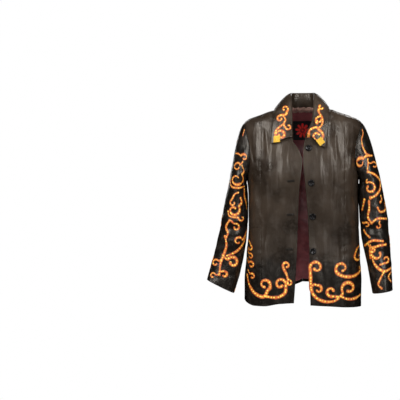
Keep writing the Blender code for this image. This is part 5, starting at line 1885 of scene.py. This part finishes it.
def build_corner_plates():
    """Square brass plates with a rim and four leaves, lying on the collar's points."""
    u = np.linspace(-1, 1, 37)
    a, b = np.meshgrid(u, u)
    edge = np.maximum(np.abs(a), np.abs(b))
    relief = PLATE_THICKNESS + 0.0006 * bell((edge - 0.90) / 0.07)
    for sx in (-1, 1):
        for sy in (-1, 1):
            along, off = (a * sx + b * sy) / 2 - 0.38, (a * sx - b * sy) / 1.4
            relief += 0.0011 * np.exp(-((along / 0.26) ** 4) - (off / 0.24) ** 2)
    relief += 0.0008 * np.exp(-((a**2 + b**2) / 0.012))
    relief = np.where(edge > 0.999, PLATE_SKIRT, relief)
    for word, x, height, turn in CORNER_PLATES:
        centre, out, right, up = flat_place("collar_leather", x, height, 0.008)
        t = np.radians(turn)
        right, up = right * np.cos(t) + up * np.sin(t), up * np.cos(t) - right * np.sin(t)
        points = centre + PLATE_HALF_SIDE * in_plane(pairs(a, b), right, up)
        points = points + relief[..., None] * out
        grid_piece(f"collar_corner_{word}_plate", points, METAL, "gold",
                   (f"collar_corner_{word}",))


ORNAMENT_RAYS = 9
ORNAMENT_REACH = (0.007, 0.027)
ORNAMENT_WIDTH = 0.0085
ORNAMENT_HEART = 0.0045


def build_patch():
    """The black patch in the neck, hemmed all round, with a plain red ornament."""
    at, _ = seen_chart("back_lining_satin")
    u, v = np.linspace(-1, 1, 49), np.linspace(0, 1, 41)
    height = LABEL_TOP - LABEL_FOOT
    flat = pairs(u[None, :] * LABEL_HALF_WIDTH, (LABEL_FOOT + height * v)[:, None])
    from_side = (1 - np.abs(u))[None, :] * LABEL_HALF_WIDTH
    edge = np.minimum(from_side, np.minimum(v, 1 - v)[:, None] * height)
    lift = 0.0006 + 0.0006 * np.clip(edge / 0.002, 0, 1) ** 0.5
    lift += 0.0005 * bell((edge - 0.004) / 0.0016)
    lift += 0.0004 * ripple(flat[..., 0] / 0.012, flat[..., 1] / 0.014, 61) * (edge > 0.004)
    grid_piece("neck_patch_cloth", at(flat, lift), PATCH_CLOTH, "patch", ("neck_patch",))
    at, _ = seen_chart("neck_patch_cloth")
    brush = Brush(at)
    middle = np.array([0.0, (LABEL_TOP + LABEL_FOOT) / 2])
    for number in range(ORNAMENT_RAYS):
        t = 2 * np.pi * (number + 0.25) / ORNAMENT_RAYS
        spine = np.linspace(*ORNAMENT_REACH, 12)[:, None] * circle(t) + middle
        brush.stroke(spine, ORNAMENT_WIDTH, (0.0, 0.4), False, number)
    brush.dots([middle], ORNAMENT_HEART)
    brush.finish("neck_patch_ornament", RED_PAINT, "patch", RED_PAINT)


RUFFLE_HALF_WIDTH = 0.046
RUFFLE_HEIGHTS = (0.004, 0.020)
RUFFLE_STANDOFF = 0.0012
RUFFLE_DEPTH = 0.0050


def build_neck_ruffle():
    """The gathered strip along the inside of the neck seam."""
    t = np.linspace(-1, 1, 161)
    v = np.linspace(-1, 1, 9)
    quarter = Quarter(1, True, by_length=True)
    flat = pairs(np.abs(t)[None, :] * RUFFLE_HALF_WIDTH, np.linspace(*RUFFLE_HEIGHTS, 9)[:, None])
    flat[..., 1] += 0.0022 * ripple(t / 0.09, 3, 71)[None, :]
    folds = RUFFLE_DEPTH * ripple(t[None, :] / 0.045, v[:, None] * 0.9, 73) ** 2
    lift = WALL + LINING_GAP + LINING_WALL + RUFFLE_STANDOFF + folds + 0.002 * (1 - v**2)[:, None]
    turn, height = quarter.place(flat)
    points = body(np.where(t[None, :] < 0, -turn, turn), height, -lift)
    grid_piece("neck_ruffle", points, RUFFLE_SATIN, "lining")


paint_scrolls("front_scrolls", body_chart(False), FRONT_STROKES, 0)
paint_scrolls("collar_scrolls", seen_chart("collar_leather"), COLLAR_STROKES, 40)
paint_sleeves()
paint_back()
build_fine_buttons()
build_fine_buttonholes()
build_corner_plates()
build_patch()
build_neck_ruffle()


# Stage, lights and camera


LIGHTS = (
    # name, place, aim, size, watts
    ("key", (-1.7, -2.2, 1.2), (0, 0, -0.30), (0.28, 1.8), 46),
    ("fill", (1.7, -2.4, 0.9), (0, 0, -0.30), (0.28, 1.8), 36),
    ("front", (-0.1, -3.4, 0.5), (0, 0, -0.35), (0.16, 0.9), 5),
    ("top", (0, -0.9, 2.2), (0, 0, -0.3), (1.6, 0.4), 6),
    ("back", (0.9, 2.6, 1.2), (0, 0, -0.3), (0.3, 1.8), 9),
    ("back_fill", (-1.3, 2.4, 0.8), (0, 0, -0.3), (0.3, 1.8), 8),
)
FLOOR_REACH = 40
FLOOR_HEIGHT = -0.95
CAMERA_DISTANCE = 4.0
# How far aside the camera looks, at its distance
CAMERA_OFFSET = 0.364
CAMERA_PLACE = (-0.014, -CAMERA_DISTANCE, -0.3256)
PICTURE_WIDTH = 1.48


def area_light(name, place, aim, size, watts):
    light = bpy.data.lights.new(name, "AREA")
    light.shape, light.size, light.size_y = "RECTANGLE", *size
    light.energy = watts
    made = add_object(name, light)
    made.location = place
    made.rotation_euler = (Vector(aim) - Vector(place)).to_track_quat("-Z", "Y").to_euler()


def build_stage():
    floor_mesh = bpy.data.meshes.new("floor")
    corners = [(-1, -1), (1, -1), (1, 1), (-1, 1)]
    corners = [(FLOOR_REACH * x, FLOOR_REACH * y, 0) for x, y in corners]
    floor_mesh.from_pydata(corners, [], [(0, 1, 2, 3)])
    made = Nodes("pale_floor")
    floor_mesh.materials.append(made.finish(
        Base_Color=(0.0, 0.0, 0.0, 1.0), Roughness=1.0, Specular_IOR_Level=0.0,
        Emission_Color=(1.0, 1.0, 1.0, 1.0), Emission_Strength=1.0,
    ))
    floor = add_object("floor", floor_mesh)
    floor.location.z = FLOOR_HEIGHT
    floor.visible_diffuse = floor.visible_glossy = False
    world = bpy.data.worlds.new("studio")
    world.use_nodes = True
    world.node_tree.nodes["Background"].inputs["Color"].default_value = (1, 1, 1, 1)
    world.node_tree.nodes["Background"].inputs["Strength"].default_value = 1.0
    world.cycles_visibility.glossy = False
    bpy.context.scene.world = world
    for light in LIGHTS:
        area_light(*light)


def build_camera():
    """Straight in front of the jacket, turned a little to one side, as the picture frames it."""
    data = bpy.data.cameras.new("camera")
    made = add_object("camera", data)
    turn = np.arctan2(CAMERA_OFFSET, CAMERA_DISTANCE)
    made.location = CAMERA_PLACE
    made.rotation_euler = (np.pi / 2, 0, turn)
    data.lens = data.sensor_width * CAMERA_DISTANCE / np.cos(turn) / PICTURE_WIDTH
    data.clip_end = 100
    bpy.context.scene.camera = made


build_stage()
build_camera()
bpy.context.scene.view_settings.view_transform = "Standard"
